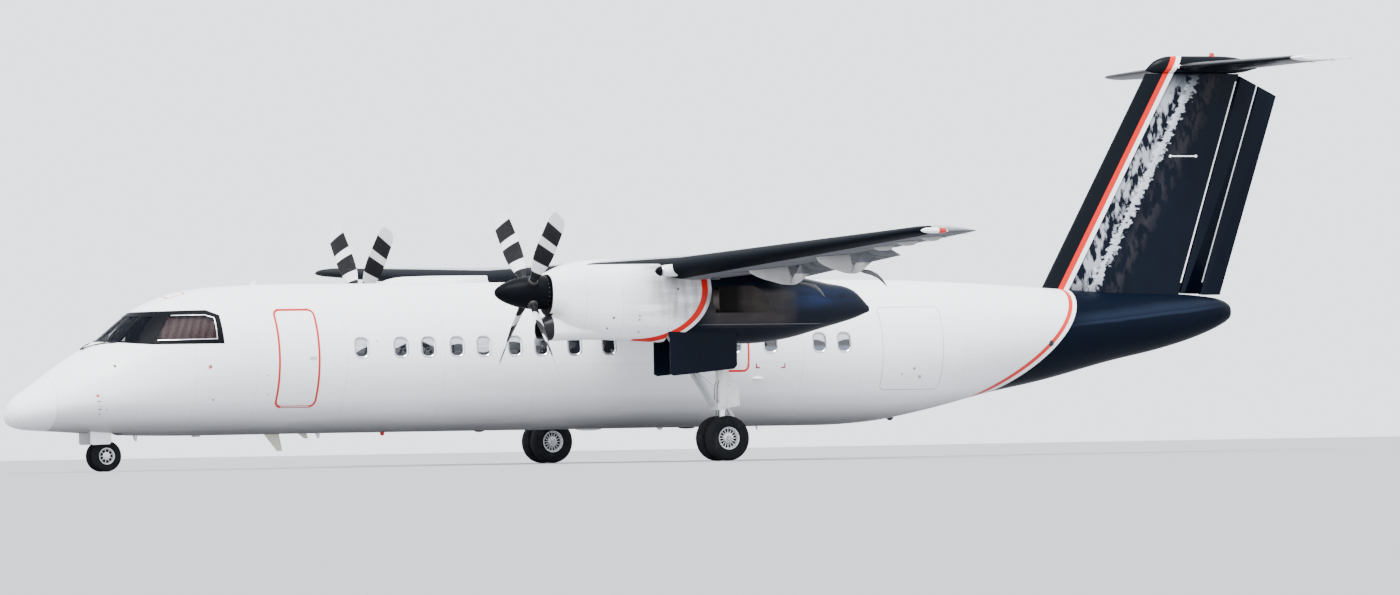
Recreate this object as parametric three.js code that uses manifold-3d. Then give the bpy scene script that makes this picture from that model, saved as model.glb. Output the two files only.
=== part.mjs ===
// Turboprop airliner: high wing, twin engines, T tail, parked on its landing gear.
// Millimetres. +X towards the nose, +Y to port (the left wing), +Z up, z = 0 on the ground.
// Places along the aircraft are given as a station, which is the distance behind the nose tip.
import * as THREE from "three";
import { mergeVertices } from "three/addons/utils/BufferGeometryUtils.js";
import Module from "manifold-3d";

const wasm = await Module();
wasm.setup();

// Driving dimensions
const LENGTH = 25680;
const SPAN = 27430;
const FUSELAGE_RADIUS = 1345;
const FLOOR_Z = 1100;
const ENGINE_Y = 3940;
const MAIN_GEAR_STATION = 12150;
const NOSE_GEAR_STATION = 1840;
const GAP = 0.3;
const RUNNING_GAP = 8;

const at = (station) => LENGTH / 2 - station;
const rad = THREE.MathUtils.degToRad;
const v3 = (x, y, z) => new THREE.Vector3(x, y, z);

// Solids from three.js geometry

function toSolid(geometry) {
  const bare = geometry.clone();
  bare.deleteAttribute("normal");
  bare.deleteAttribute("uv");
  const merged = mergeVertices(bare, 1e-3);
  const index = merged.index.array;
  const place = merged.attributes.position.array;
  const faces = [];
  for (let i = 0; i < index.length; i += 3) {
    const [a, b, c] = [index[i], index[i + 1], index[i + 2]];
    if (a !== b && b !== c && c !== a) faces.push(a, b, c);
  }
  return new wasm.Manifold(
    new wasm.Mesh({
      numProp: 3,
      vertProperties: new Float32Array(place),
      triVerts: new Uint32Array(faces),
    }),
  );
}

function toGeometry(solid) {
  const data = solid.getMesh();
  const count = data.numVert;
  const place = new Float32Array(count * 3);
  for (let i = 0; i < count; i++) {
    for (let k = 0; k < 3; k++) place[3 * i + k] = data.vertProperties[data.numProp * i + k];
  }
  const geometry = new THREE.BufferGeometry();
  geometry.setAttribute("position", new THREE.BufferAttribute(place, 3));
  geometry.setIndex(new THREE.BufferAttribute(new Uint32Array(data.triVerts), 1));
  return geometry;
}

const moved = (geometry, x, y, z) => geometry.translate(x, y, z);
const join = (...solids) => solids.reduce((whole, next) => whole.add(next));

// A closed skin through rings of equal point count, given in order along the body
function loft(rings) {
  const n = rings[0].length;
  const points = rings.flat();
  const faces = [];
  for (let r = 0; r + 1 < rings.length; r++) {
    for (let i = 0; i < n; i++) {
      const j = (i + 1) % n;
      const [a, b, c, d] = [r * n + i, r * n + j, (r + 1) * n + i, (r + 1) * n + j];
      faces.push(a, b, d, a, d, c);
    }
  }
  for (const r of [0, rings.length - 1]) {
    const middle = rings[r].reduce((sum, p) => sum.clone().add(p), v3(0, 0, 0)).divideScalar(n);
    points.push(middle);
    for (let i = 0; i < n; i++) {
      const pair = [r * n + i, r * n + ((i + 1) % n)];
      faces.push(points.length - 1, ...(r === 0 ? pair.reverse() : pair));
    }
  }
  let volume = 0;
  const cross = v3(0, 0, 0);
  for (let i = 0; i < faces.length; i += 3) {
    const [a, b, c] = [points[faces[i]], points[faces[i + 1]], points[faces[i + 2]]];
    volume += a.dot(cross.crossVectors(b, c));
  }
  if (volume < 0) {
    for (let i = 0; i < faces.length; i += 3) {
      [faces[i], faces[i + 1]] = [faces[i + 1], faces[i]];
    }
  }
  const geometry = new THREE.BufferGeometry();
  geometry.setAttribute(
    "position",
    new THREE.Float32BufferAttribute(points.flatMap((p) => [p.x, p.y, p.z]), 3),
  );
  geometry.setIndex(faces);
  return toSolid(geometry);
}

function box(stations, ys, zs) {
  const size = [stations[1] - stations[0], ys[1] - ys[0], zs[1] - zs[0]];
  const middle = [at((stations[0] + stations[1]) / 2), (ys[0] + ys[1]) / 2, (zs[0] + zs[1]) / 2];
  return toSolid(moved(new THREE.BoxGeometry(...size), ...middle));
}

// A round bar or tapered bar between two points
function bar(from, to, radius, endRadius = radius, sides = 16) {
  const length = from.distanceTo(to);
  const geometry = new THREE.CylinderGeometry(endRadius, radius, length, sides);
  geometry.translate(0, length / 2, 0);
  const turn = new THREE.Quaternion().setFromUnitVectors(
    v3(0, 1, 0),
    to.clone().sub(from).normalize(),
  );
  geometry.applyQuaternion(turn);
  return toSolid(geometry.translate(from.x, from.y, from.z));
}

// A solid of revolution about a line parallel to Y; the profile gives [radius, y] pairs
function turnedAboutY(profile, sides, x, y, z) {
  const points = profile.map(([r, along]) => new THREE.Vector2(r, along));
  const geometry = new THREE.LatheGeometry(points, sides).rotateY(Math.PI / sides);
  return toSolid(moved(geometry, x, y, z));
}

// A prism seen from the side: corners as [station, z], reaching from one y to the other
function sidePrism(corners, y0, y1) {
  const shape = new THREE.Shape(corners.map(([s, z]) => new THREE.Vector2(at(s), z)));
  const geometry = new THREE.ExtrudeGeometry(shape, { depth: y1 - y0, bevelEnabled: false });
  geometry.applyMatrix4(new THREE.Matrix4().makeBasis(v3(1, 0, 0), v3(0, 0, 1), v3(0, -1, 0)));
  return toSolid(moved(geometry, 0, y1, 0));
}

// A prism seen from ahead: corners as [y, z], reaching from one station to the other
function frontPrism(corners, s0, s1) {
  const shape = new THREE.Shape(corners.map(([y, z]) => new THREE.Vector2(y, z)));
  const geometry = new THREE.ExtrudeGeometry(shape, { depth: s1 - s0, bevelEnabled: false });
  geometry.applyMatrix4(new THREE.Matrix4().makeBasis(v3(0, 1, 0), v3(0, 0, 1), v3(1, 0, 0)));
  return toSolid(moved(geometry, at(s1), 0, 0));
}

// A rounded rectangle of corners, as a list of [across, up]
function roundedRectangle(a0, a1, b0, b1, radius, steps = 4) {
  const centres = [
    [a1 - radius, b1 - radius, 0],
    [a0 + radius, b1 - radius, 90],
    [a0 + radius, b0 + radius, 180],
    [a1 - radius, b0 + radius, 270],
  ];
  return centres.flatMap(([a, b, start]) =>
    Array.from({ length: steps + 1 }, (_, i) => {
      const angle = rad(start + (90 * i) / steps);
      return [a + radius * Math.cos(angle), b + radius * Math.sin(angle)];
    }),
  );
}

// The same outline drawn in towards its middle by a small gap
function shrunk(corners, gap) {
  const middle = [0, 1].map((k) => corners.reduce((sum, c) => sum + c[k], 0) / corners.length);
  const reach = [0, 1].map((k) => Math.min(...corners.map((c) => Math.abs(c[k] - middle[k]))));
  const scale = reach.map((r) => 1 - gap / Math.max(r, 200));
  return corners.map((c) => c.map((value, k) => middle[k] + (value - middle[k]) * scale[k]));
}

const otherSide = (corners) => corners.map(([y, z]) => [-y, z]);
const MIRROR = new THREE.Matrix4().makeScale(1, -1, 1);

function mirrored(solid) {
  const geometry = toGeometry(solid).applyMatrix4(MIRROR);
  const index = geometry.index.array;
  for (let i = 0; i < index.length; i += 3) [index[i], index[i + 1]] = [index[i + 1], index[i]];
  return toSolid(geometry);
}

function turned(solid, origin, axis, degrees) {
  const geometry = toGeometry(solid);
  geometry.translate(-origin.x, -origin.y, -origin.z);
  geometry.applyMatrix4(new THREE.Matrix4().makeRotationAxis(axis, rad(degrees)));
  return toSolid(geometry.translate(origin.x, origin.y, origin.z));
}

// Bodies given by a table of sections: station, bottom, widest height, top, half width
const HULL = [
  [0, 935, 1000, 1065, 70],
  [40, 865, 1010, 1160, 170],
  [120, 820, 1035, 1285, 290],
  [300, 770, 1080, 1430, 440],
  [480, 750, 1120, 1545, 560],
  [730, 735, 1190, 1715, 700],
  [1050, 715, 1270, 1930, 840],
  [1400, 690, 1350, 2140, 955],
  [1750, 660, 1430, 2335, 1045],
  [2040, 645, 1495, 2560, 1100],
  [2320, 635, 1560, 2780, 1150],
  [2740, 624, 1680, 3010, 1215],
  [3190, 617, 1800, 3160, 1275],
  [3750, 615, 1900, 3250, 1320],
  [4760, 617, 1955, 3300, FUSELAGE_RADIUS],
  [5500, 620, 1965, 3310, FUSELAGE_RADIUS],
  [15850, 620, 1965, 3310, FUSELAGE_RADIUS],
  [17060, 690, 1990, 3300, 1330],
  [17860, 830, 2050, 3280, 1285],
  [18470, 960, 2110, 3250, 1225],
  [19270, 1150, 2190, 3210, 1130],
  [20480, 1380, 2290, 3130, 960],
  [21900, 1720, 2420, 3040, 740],
  [23100, 1970, 2510, 3000, 540],
  [23900, 2200, 2580, 2950, 370],
  [24440, 2430, 2640, 2850, 210],
  [24540, 2500, 2640, 2785, 140],
];
const NACELLE = [
  [8760, 2640, 3040, 3360, 330],
  [9000, 2400, 2990, 3470, 430],
  [9500, 2240, 2930, 3520, 470],
  [10600, 2150, 2880, 3530, 480],
  [11600, 2100, 2850, 3510, 480],
  [12600, 2090, 2800, 3440, 475],
  [13400, 2170, 2760, 3330, 430],
  [14200, 2370, 2760, 3170, 310],
  [14770, 2520, 2780, 3030, 170],
  [15090, 2640, 2690, 2740, 40],
];
const WING_FAIRING = [
  [9900, 3100, 3180, 3290, 200],
  [10400, 2900, 3020, 3450, 620],
  [10870, 2800, 2950, 3640, 860],
  [11700, 2800, 2930, 3715, 940],
  [12700, 2800, 2930, 3670, 940],
  [13330, 2800, 2950, 3560, 880],
  [14100, 2900, 3050, 3420, 620],
  [14900, 3100, 3180, 3290, 220],
];
const FIN_TOP_Z = 7150;
const FIN_TIP = [
  [22880, 7200, 7210, 7225, 20],
  [23050, 7160, 7240, 7380, 90],
  [23470, FIN_TOP_Z, 7260, 7485, 130],
  [24300, FIN_TOP_Z, 7270, 7485, 140],
  [24900, 7170, 7270, 7440, 120],
  [25250, 7250, 7280, 7320, 30],
];

function sectionAt(table, station) {
  const next = Math.max(1, table.findIndex((row) => row[0] >= station));
  const [low, high] = [table[next - 1], table[next]];
  const share = (station - low[0]) / (high[0] - low[0]);
  return low.map((value, k) => value + (high[k] - value) * share);
}

function sectionRing([station, bottom, widest, top, half], inset, points, power, y) {
  return Array.from({ length: points }, (_, i) => {
    const angle = (2 * Math.PI * i) / points;
    const [c, s] = [Math.cos(angle), Math.sin(angle)];
    const across = Math.sign(c) * Math.abs(c) ** (2 / power) * (half - inset);
    const rise = Math.sign(s) * Math.abs(s) ** (2 / power);
    const height = rise > 0 ? top - inset - widest : widest - bottom - inset;
    return v3(at(station), y + across, widest + rise * height);
  });
}

function body(table, from, to, { inset = 0, points = 36, power = 2, y = 0 } = {}) {
  const inner = table.filter((row) => row[0] > from + 1 && row[0] < to - 1);
  const rows = [sectionAt(table, from), ...inner, sectionAt(table, to)];
  return loft(rows.map((row) => sectionRing(row, inset, points, power, y)));
}

const hull = (from, to, inset = 0) => body(HULL, from, to, { inset });

// Lifting surfaces: rings of an aerofoil between two parts of its chord
const AEROFOIL_STEPS = [0, 0.012, 0.05, 0.12, 0.22, 0.35, 0.5, 0.65, 0.8, 0.92, 1];
const CAMBER = 0.02;

function halfThickness(x, ratio) {
  const root = 0.2969 * Math.sqrt(x) - 0.126 * x;
  return 5 * ratio * (root - 0.3516 * x ** 2 + 0.2843 * x ** 3 - 0.102 * x ** 4);
}

const camberLine = (x, camber) => 4 * camber * x * (1 - x);

// Wing sections: y, leading edge station, chord, height of the chord line, thickness ratio
const WING = [
  [0, 10870, 2460, 3420, 0.18],
  [4400, 10870, 2460, 3420, 0.18],
  [9700, 11123, 1750, 3651, 0.155],
  [13200, 11290, 1280, 3804, 0.13],
  [13560, 11380, 1120, 3821, 0.12],
  [SPAN / 2, 11620, 640, 3828, 0.08],
];

function wingAt(y) {
  return sectionAt(WING, Math.abs(y));
}

function wingRing(y, grow = 0) {
  const [, leading, chord, height, ratio] = wingAt(y);
  const low = AEROFOIL_STEPS.slice(1, -1).map((x) => [x, -1]);
  const high = AEROFOIL_STEPS.map((x) => [x, 1]).reverse();
  return [...high, ...low, [1, -1]].map(([x, side]) => {
    const half = halfThickness(x, ratio) * chord + 3 + grow;
    const z = height + camberLine(x, CAMBER) * chord + side * half;
    return v3(at(leading + x * (chord + 2 * grow) - grow), y, z);
  });
}

function wing(ys, grow = 0) {
  return loft(ys.map((y) => wingRing(y, grow)));
}

// A moving surface: a rounded nose and two straight sides back to a thin edge
const NOSE_STEPS = [0, 30, 60, 90];

function surfaceRing(noseLength, thickness, length, edge) {
  const arc = NOSE_STEPS.map((a) => [
    noseLength * (1 - Math.cos(rad(a))),
    (thickness / 2) * Math.sin(rad(a)),
  ]);
  const under = arc.slice(1).map(([a, t]) => [a, -t]);
  return [...arc, [length, edge / 2], [length, -edge / 2], ...under.reverse()];
}

const parts = new THREE.Group();
const PAINT = {
  white: new THREE.MeshStandardMaterial({ color: 0xe9eaea, roughness: 0.35, metalness: 0.0 }),
  navy: new THREE.MeshStandardMaterial({ color: 0x121c2c, roughness: 0.3, metalness: 0.0 }),
  grey: new THREE.MeshStandardMaterial({ color: 0x9a9fa4, roughness: 0.45, metalness: 0.1 }),
  dark: new THREE.MeshStandardMaterial({ color: 0x2b2d30, roughness: 0.6, metalness: 0.1 }),
  black: new THREE.MeshStandardMaterial({ color: 0x101113, roughness: 0.5, metalness: 0.0 }),
  metal: new THREE.MeshStandardMaterial({ color: 0xb8bcc0, roughness: 0.3, metalness: 0.9 }),
  rubber: new THREE.MeshStandardMaterial({ color: 0x1b1b1c, roughness: 0.85, metalness: 0.0 }),
  glass: new THREE.MeshStandardMaterial({ color: 0x26323a, roughness: 0.1, metalness: 0.0 }),
  seat: new THREE.MeshStandardMaterial({ color: 0x3a3f48, roughness: 0.9, metalness: 0.0 }),
};

function add(name, solid, paint) {
  const mesh = new THREE.Mesh(toGeometry(solid), paint);
  mesh.name = name;
  parts.add(mesh);
}

function addPair(name, solid, paint) {
  add(name + "_left", solid, paint);
  add(name + "_right", mirrored(solid), paint);
}

// Fuselage: skins split at their production joints, with a hollow flight deck and entry
const SKIN = 60;
const GLASS_THICKNESS = 30;
const SPLITS = { radome: 730, forward: 6000, centre: 15000, rear: 20600, end: 24540 };
const DECK_FLOOR_Z = 1350;
const DECK = { from: 1960, to: 3960 };
const ENTRY = { from: 4560, to: 5640, y0: -150, top: 3000 };
const DOOR = { from: 4710, to: 5470, bottom: FLOOR_Z, top: 2830, radius: 110 };
const DOOR_HINGE = { y: 1038, z: FLOOR_Z, radius: 12 };
const BAGGAGE_DOOR = { from: 16630, to: 17900, bottom: 1250, top: 2770, radius: 90 };
const WINDSCREEN = [
  [35, 2330],
  [895, 2280],
  [640, 2750],
  [35, 2770],
];
const SIDE_WINDOW = [
  [2400, 2270],
  [3610, 2285],
  [3630, 2730],
  [3440, 2800],
  [2810, 2795],
];
const WINDSCREEN_REACH = [1650, 2790];
const HOLD_END = 19400;
const NOSE_BAY = { from: 1480, to: 2120, half: 310, top: 1150 };

const doorOutline = (gap) =>
  roundedRectangle(
    DOOR.from + gap,
    DOOR.to - gap,
    DOOR.bottom + gap,
    DOOR.top - gap - (gap > 1 ? 4 : 0),
    DOOR.radius + (gap > 1 ? 26 : 0),
  );
const baggageOutline = (gap) =>
  roundedRectangle(
    BAGGAGE_DOOR.from + gap,
    BAGGAGE_DOOR.to - gap,
    BAGGAGE_DOOR.bottom + gap,
    BAGGAGE_DOOR.top - gap,
    BAGGAGE_DOOR.radius - gap,
  );

add("radome", hull(0, SPLITS.radome - GAP), PAINT.white);

const deckSpace = hull(DECK.from, DECK.to, SKIN).intersect(
  box([DECK.from - 10, DECK.to + 10], [-2000, 2000], [DECK_FLOOR_Z, 4000]),
);
const entrySpace = hull(ENTRY.from, ENTRY.to, SKIN).intersect(
  box([ENTRY.from - 10, ENTRY.to + 10], [ENTRY.y0, 2000], [FLOOR_Z, ENTRY.top]),
);
const nosePit = box([NOSE_BAY.from, NOSE_BAY.to], [-NOSE_BAY.half, NOSE_BAY.half], [0, NOSE_BAY.top]);
const screenCut = (gap, side) =>
  frontPrism(shrunk(side > 0 ? WINDSCREEN : otherSide(WINDSCREEN), gap), ...WINDSCREEN_REACH);
const sideCut = (gap, side) =>
  sidePrism(shrunk(SIDE_WINDOW, gap), side > 0 ? 300 : -2000, side > 0 ? 2000 : -300);
const doorway = sidePrism(doorOutline(0), 300, 2000);
const hingeSeat = bar(
  v3(at(DOOR.to - DOOR.radius), DOOR_HINGE.y, DOOR_HINGE.z),
  v3(at(DOOR.from + DOOR.radius), DOOR_HINGE.y, DOOR_HINGE.z),
  DOOR_HINGE.radius + 0.6,
);
const passage = box([DECK.to - 100, ENTRY.from + 100], [-150, 350], [DECK_FLOOR_Z, 2900]);

const antenna = sidePrism(
  [
    [4860, 700],
    [5260, 700],
    [5260, 430],
    [5225, 320],
    [5120, 310],
  ],
  -12,
  12,
);
// Jacking pads, flat underneath: station, y, height of the flat face
const NOSE_PAD = [3600, 0, 590];
const WING_PAD = [11700, 4750, 3225];
const PAD_HALF = 60;
const jackPad = ([station, y, z]) =>
  box([station - PAD_HALF, station + PAD_HALF], [y - PAD_HALF, y + PAD_HALF], [z, z + 90]);
add(
  "forward_fuselage",
  join(hull(SPLITS.radome, SPLITS.forward - GAP), antenna, jackPad(NOSE_PAD))
    .subtract(join(deckSpace, entrySpace, nosePit, doorway, passage, hingeSeat))
    .subtract(join(screenCut(0, 1), screenCut(0, -1), sideCut(0, 1), sideCut(0, -1))),
  PAINT.white,
);

const glassShell = hull(1500, 4000, 0).subtract(hull(1490, 4010, GLASS_THICKNESS));
add("windscreen_left", glassShell.intersect(screenCut(GAP, 1)), PAINT.glass);
add("windscreen_right", glassShell.intersect(screenCut(GAP, -1)), PAINT.glass);
add("side_window_left", glassShell.intersect(sideCut(GAP, 1)), PAINT.glass);
add("side_window_right", glassShell.intersect(sideCut(GAP, -1)), PAINT.glass);

const panelOutline = [
  [2120, DECK_FLOOR_Z + GAP],
  [2420, DECK_FLOOR_Z + GAP],
  [2420, 1900],
  [2500, 2200],
  [2300, 2240],
  [2120, 2150],
];
add("instrument_panel", sidePrism(panelOutline, -720, 720), PAINT.dark);

const SEAT = { y: 480, half: 230, front: 2960, back: 3440 };
const seat = join(
  box([SEAT.front, SEAT.back], [SEAT.y - SEAT.half, SEAT.y + SEAT.half], [1700, 1820]),
  box([3080, 3340], [SEAT.y - 120, SEAT.y + 120], [DECK_FLOOR_Z + GAP, 1710]),
  sidePrism(
    [
      [SEAT.back - 120, 1780],
      [SEAT.back, 1780],
      [SEAT.back + 90, 2400],
      [SEAT.back, 2400],
    ],
    SEAT.y - SEAT.half,
    SEAT.y + SEAT.half,
  ),
  box([SEAT.back + 10, SEAT.back + 90], [SEAT.y - 130, SEAT.y + 130], [2390, 2580]),
);
addPair("pilot_seat", seat, PAINT.seat);

// Entry door: hinged at the sill, with the stairs on its inner face
const hingeBar = bar(
  v3(at(DOOR.to - DOOR.radius - 10), DOOR_HINGE.y, DOOR_HINGE.z),
  v3(at(DOOR.from + DOOR.radius + 10), DOOR_HINGE.y, DOOR_HINGE.z),
  DOOR_HINGE.radius,
);
const doorSkin = hull(DOOR.from - 200, DOOR.to + 200)
  .subtract(hull(DOOR.from - 210, DOOR.to + 210, SKIN))
  .intersect(sidePrism(doorOutline(6), 300, 2000));
const STEPS = [1420, 1750, 2080, 2410];
const stairs = join(
  ...STEPS.map((z) => {
    const y = Math.sqrt((FUSELAGE_RADIUS - SKIN) ** 2 - (z - 1965) ** 2);
    return box([DOOR.from + 60, DOOR.to - 60], [y - 240, y + 20], [z, z + 35]);
  }),
);
const stringers = [DOOR.from + 60, DOOR.to - 90].map((s) =>
  hull(s, s + 30, SKIN - 20)
    .subtract(hull(s - 10, s + 40, SKIN + 180))
    .intersect(box([s - 10, s + 40], [300, 2000], [1300, 2560])),
);
add("airstair_door", join(doorSkin, hingeBar, stairs, ...stringers), PAINT.white);

// Wing, in a centre panel across the fuselage and two outer panels
const PANEL_JOINT_Y = 4460;
const FLAP = { start: 0.72, inner: [1000, 3400], outer: [4560, 9720], slot: 12 };
const AILERON = { start: 0.75, reach: [9900, 13150] };

// A block behind a straight line across the chord, between two y places
function behindLine(reach, share, slack = 0) {
  const rows = reach.map((y) => {
    const [, leading, chord] = wingAt(y);
    return [y, leading + share * chord - slack];
  });
  const corners = [
    [rows[0][1], rows[0][0]],
    [rows[1][1], rows[1][0]],
    [15200, rows[1][0]],
    [15200, rows[0][0]],
  ];
  const shape = new THREE.Shape(corners.map(([s, y]) => new THREE.Vector2(at(s), y)));
  const geometry = new THREE.ExtrudeGeometry(shape, { depth: 2000, bevelEnabled: false });
  return toSolid(moved(geometry, 0, 0, 2700));
}

const grow = (reach, by) => [reach[0] - by, reach[1] + by];
const outerWing = wing([PANEL_JOINT_Y, 9700, 13200, 13560, SPAN / 2 - 2]);
const tipPod = body(
  [
    [11560, 3800, 3815, 3830, 12],
    [11700, 3770, 3815, 3860, 42],
    [12260, 3775, 3815, 3855, 40],
    [12420, 3800, 3815, 3830, 12],
  ],
  11560,
  12420,
  { points: 12, y: SPAN / 2 - 60 },
);
const LANDING_LIGHT = [
  [10590, 3375, 3385, 3395, 20],
  [10640, 3320, 3385, 3450, 75],
  [10760, 3290, 3390, 3490, 105],
  [11000, 3290, 3400, 3510, 115],
];
const landingLight = body(LANDING_LIGHT, 10590, 11000, { points: 16, y: 4600 });
const aileronBay = behindLine(grow(AILERON.reach, RUNNING_GAP), AILERON.start);
const outerBay = behindLine([FLAP.outer[0] - 15, FLAP.outer[1] + 35], FLAP.start);

// Flaps turn on arms about a line below the wing
const FLAP_REST = 15;
const PIVOT_DROP = 350;
const PIVOT_AHEAD = 30;

function flapLine(reach) {
  const ends = reach.map((y) => {
    const [, leading, chord, height] = wingAt(y);
    return v3(at(leading + FLAP.start * chord + FLAP.slot - PIVOT_AHEAD), y, height - PIVOT_DROP);
  });
  return { origin: ends[0], axis: ends[1].clone().sub(ends[0]).normalize() };
}

function flapRing(y) {
  const [, leading, chord, height, ratio] = wingAt(y);
  const start = FLAP.start * chord + FLAP.slot;
  const length = chord - start;
  const thick = 2 * halfThickness(FLAP.start + 0.05, ratio) * chord;
  const middle = height + camberLine(FLAP.start, CAMBER) * chord;
  return surfaceRing(0.3 * length, thick, length, 8).map(([a, t]) => {
    const fall = (camberLine(FLAP.start, CAMBER) * chord * a) / length;
    return v3(at(leading + start + a), y, middle - fall + t);
  });
}

// Plates that stand square to a turning line, outlined as [ahead, above] the line
function plateOnLine(line, y, corners, thickness) {
  const origin = line.origin.clone().addScaledVector(line.axis, (y - line.origin.y) / line.axis.y);
  const ahead = v3(1, 0, 0).addScaledVector(line.axis, -line.axis.x).normalize();
  const above = v3(0, 0, 0).crossVectors(ahead, line.axis);
  const shape = new THREE.Shape(corners.map(([a, b]) => new THREE.Vector2(a, b)));
  const geometry = new THREE.ExtrudeGeometry(shape, { depth: thickness, bevelEnabled: false });
  geometry.applyMatrix4(
    new THREE.Matrix4()
      .makeBasis(ahead, above, line.axis.clone().negate())
      .setPosition(origin.clone().addScaledVector(line.axis, thickness / 2)),
  );
  return toSolid(geometry);
}

const ARM_THICKNESS = 24;
const FAIRING_THICKNESS = 70;
// A fairing reaches this share of the chord ahead of the flap's turning line
const FAIRING_SHARE = 0.4;

function flap(reach, arms) {
  const line = flapLine(reach);
  const blade = loft([...reach].map(flapRing));
  const plates = arms.map((y) =>
    plateOnLine(
      line,
      y + (FAIRING_THICKNESS + ARM_THICKNESS) / 2 + 0.4,
      [
        [45, -45],
        [45, 45],
        [-60, PIVOT_DROP - 10],
        [-330, PIVOT_DROP - 40],
        [-120, 20],
        [-45, -45],
      ],
      ARM_THICKNESS,
    ),
  );
  return turned(join(blade, ...plates), line.origin, line.axis, -FLAP_REST);
}

function flapFairing(reach, y) {
  const front = FAIRING_SHARE * wingAt(y)[2];
  return plateOnLine(
    flapLine(reach),
    y,
    [
      [front, PIVOT_DROP - 110],
      [0.93 * front, PIVOT_DROP - 210],
      [0.62 * front, 40],
      [0.25 * front, -50],
      [-50, -60],
      [-50, 50],
      [60, 120],
      [110, PIVOT_DROP - 60],
    ],
    FAIRING_THICKNESS,
  );
}

const INNER_ARMS = [2200];
const OUTER_ARMS = [6200, 9000];
const innerFairings = join(...INNER_ARMS.map((y) => flapFairing(FLAP.inner, y)));
const wingCentre = wing([-PANEL_JOINT_Y + GAP, -4400, 4400, PANEL_JOINT_Y - GAP]);
const innerBay = behindLine(grow(FLAP.inner, RUNNING_GAP), FLAP.start);
add(
  "wing_centre",
  join(
    wingCentre.subtract(join(innerBay, mirrored(innerBay))),
    innerFairings,
    mirrored(innerFairings),
  ),
  PAINT.grey,
);
// Hinge fittings that bridge the gap to the round nose of a moving surface
const FITTING = { half: 18, reach: RUNNING_GAP - 0.9, seat: 25 };
const AILERON_HINGES = [10500, 12500];
const aileronFittings = join(
  ...AILERON_HINGES.map((y) => {
    const [, leading, chord, height] = wingAt(y);
    const start = leading + AILERON.start * chord;
    const z = height + camberLine(AILERON.start, CAMBER) * chord;
    return box(
      [start - FITTING.seat, start + FITTING.reach],
      [y - FITTING.half, y + FITTING.half],
      [z - FITTING.half, z + FITTING.half],
    );
  }),
);
const outerFairings = join(...OUTER_ARMS.map((y) => flapFairing(FLAP.outer, y)));
addPair(
  "wing",
  join(
    outerWing.subtract(join(aileronBay, outerBay)),
    tipPod,
    landingLight,
    outerFairings,
    aileronFittings,
    jackPad(WING_PAD),
  ),
  PAINT.grey,
);
addPair("inner_flap", flap(FLAP.inner, INNER_ARMS), PAINT.grey);
addPair("outer_flap", flap(FLAP.outer, OUTER_ARMS), PAINT.grey);

function aileronRing(y) {
  const [, leading, chord, height, ratio] = wingAt(y);
  const start = AILERON.start * chord + RUNNING_GAP;
  const length = chord - start;
  const thick = 2 * halfThickness(AILERON.start + 0.04, ratio) * chord;
  const middle = height + camberLine(AILERON.start, CAMBER) * chord;
  return surfaceRing(thick / 2, thick, length, 8).map(([a, t]) => {
    const fall = (camberLine(AILERON.start, CAMBER) * chord * a) / length;
    return v3(at(leading + start + a), y, middle - fall + t);
  });
}
addPair("aileron", loft(AILERON.reach.map(aileronRing)), PAINT.grey);

const grownWing = wing([-6000, -4400, 4400, 6000], GAP);
add(
  "centre_fuselage",
  hull(SPLITS.forward, SPLITS.centre - GAP).subtract(grownWing),
  PAINT.white,
);
add(
  "wing_fairing",
  body(WING_FAIRING, 9900, 14900, { points: 32 })
    .subtract(hull(9800, 15000 - GAP, -GAP))
    .subtract(grownWing)
    .subtract(join(innerBay, mirrored(innerBay))),
  PAINT.white,
);

const baggageSpace = sidePrism(baggageOutline(0), 300, 2000).subtract(
  hull(BAGGAGE_DOOR.from - 100, BAGGAGE_DOOR.to + 100, SKIN),
);
const hold = hull(SPLITS.centre - 10, HOLD_END, SKIN).intersect(
  box([SPLITS.centre - 20, HOLD_END + 10], [-2000, 2000], [FLOOR_Z, 4000]),
);
add(
  "rear_fuselage",
  hull(SPLITS.centre, SPLITS.rear - GAP).subtract(join(baggageSpace, hold)),
  PAINT.white,
);
add(
  "baggage_door",
  hull(BAGGAGE_DOOR.from - 100, BAGGAGE_DOOR.to + 100)
    .subtract(hull(BAGGAGE_DOOR.from - 110, BAGGAGE_DOOR.to + 110, SKIN - GAP))
    .intersect(sidePrism(baggageOutline(GAP), 300, 2000)),
  PAINT.white,
);

// Engine nacelles, each with an engine block inside and the main gear bay behind it
const ENGINE = { from: 9120, to: 10920, half: 330, bottom: 2560, top: 3300 };
const BAY = { from: 10960, to: 12330, half: 370, top: 2980 };
const INTAKE = [
  [8630, 2215, 2380, 2560, 235],
  [8800, 2180, 2370, 2640, 270],
  [9500, 2200, 2400, 2740, 300],
];
const PROPELLER_Z = 3040;
const HUB = { from: 8290, to: 8750, radius: 190 };
const gearboxBoss = bar(
  v3(at(8800), ENGINE_Y, PROPELLER_Z),
  v3(at(HUB.to + GAP), ENGINE_Y, PROPELLER_Z),
  150,
);
const nacelleOuter = join(
  body(NACELLE, 8760, 15090, { power: 2.5, points: 24, y: ENGINE_Y }),
  body(INTAKE, 8630, 9500, { power: 2.5, points: 16, y: ENGINE_Y }),
);
const intakeHole = body(
  INTAKE.map((row) => [row[0] - 10, ...row.slice(1)]),
  8620,
  9200,
  { inset: 35, power: 2.5, points: 16, y: ENGINE_Y },
);
const aroundEngine = (station, half, zs) =>
  box(station, [ENGINE_Y - half, ENGINE_Y + half], zs);
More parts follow.
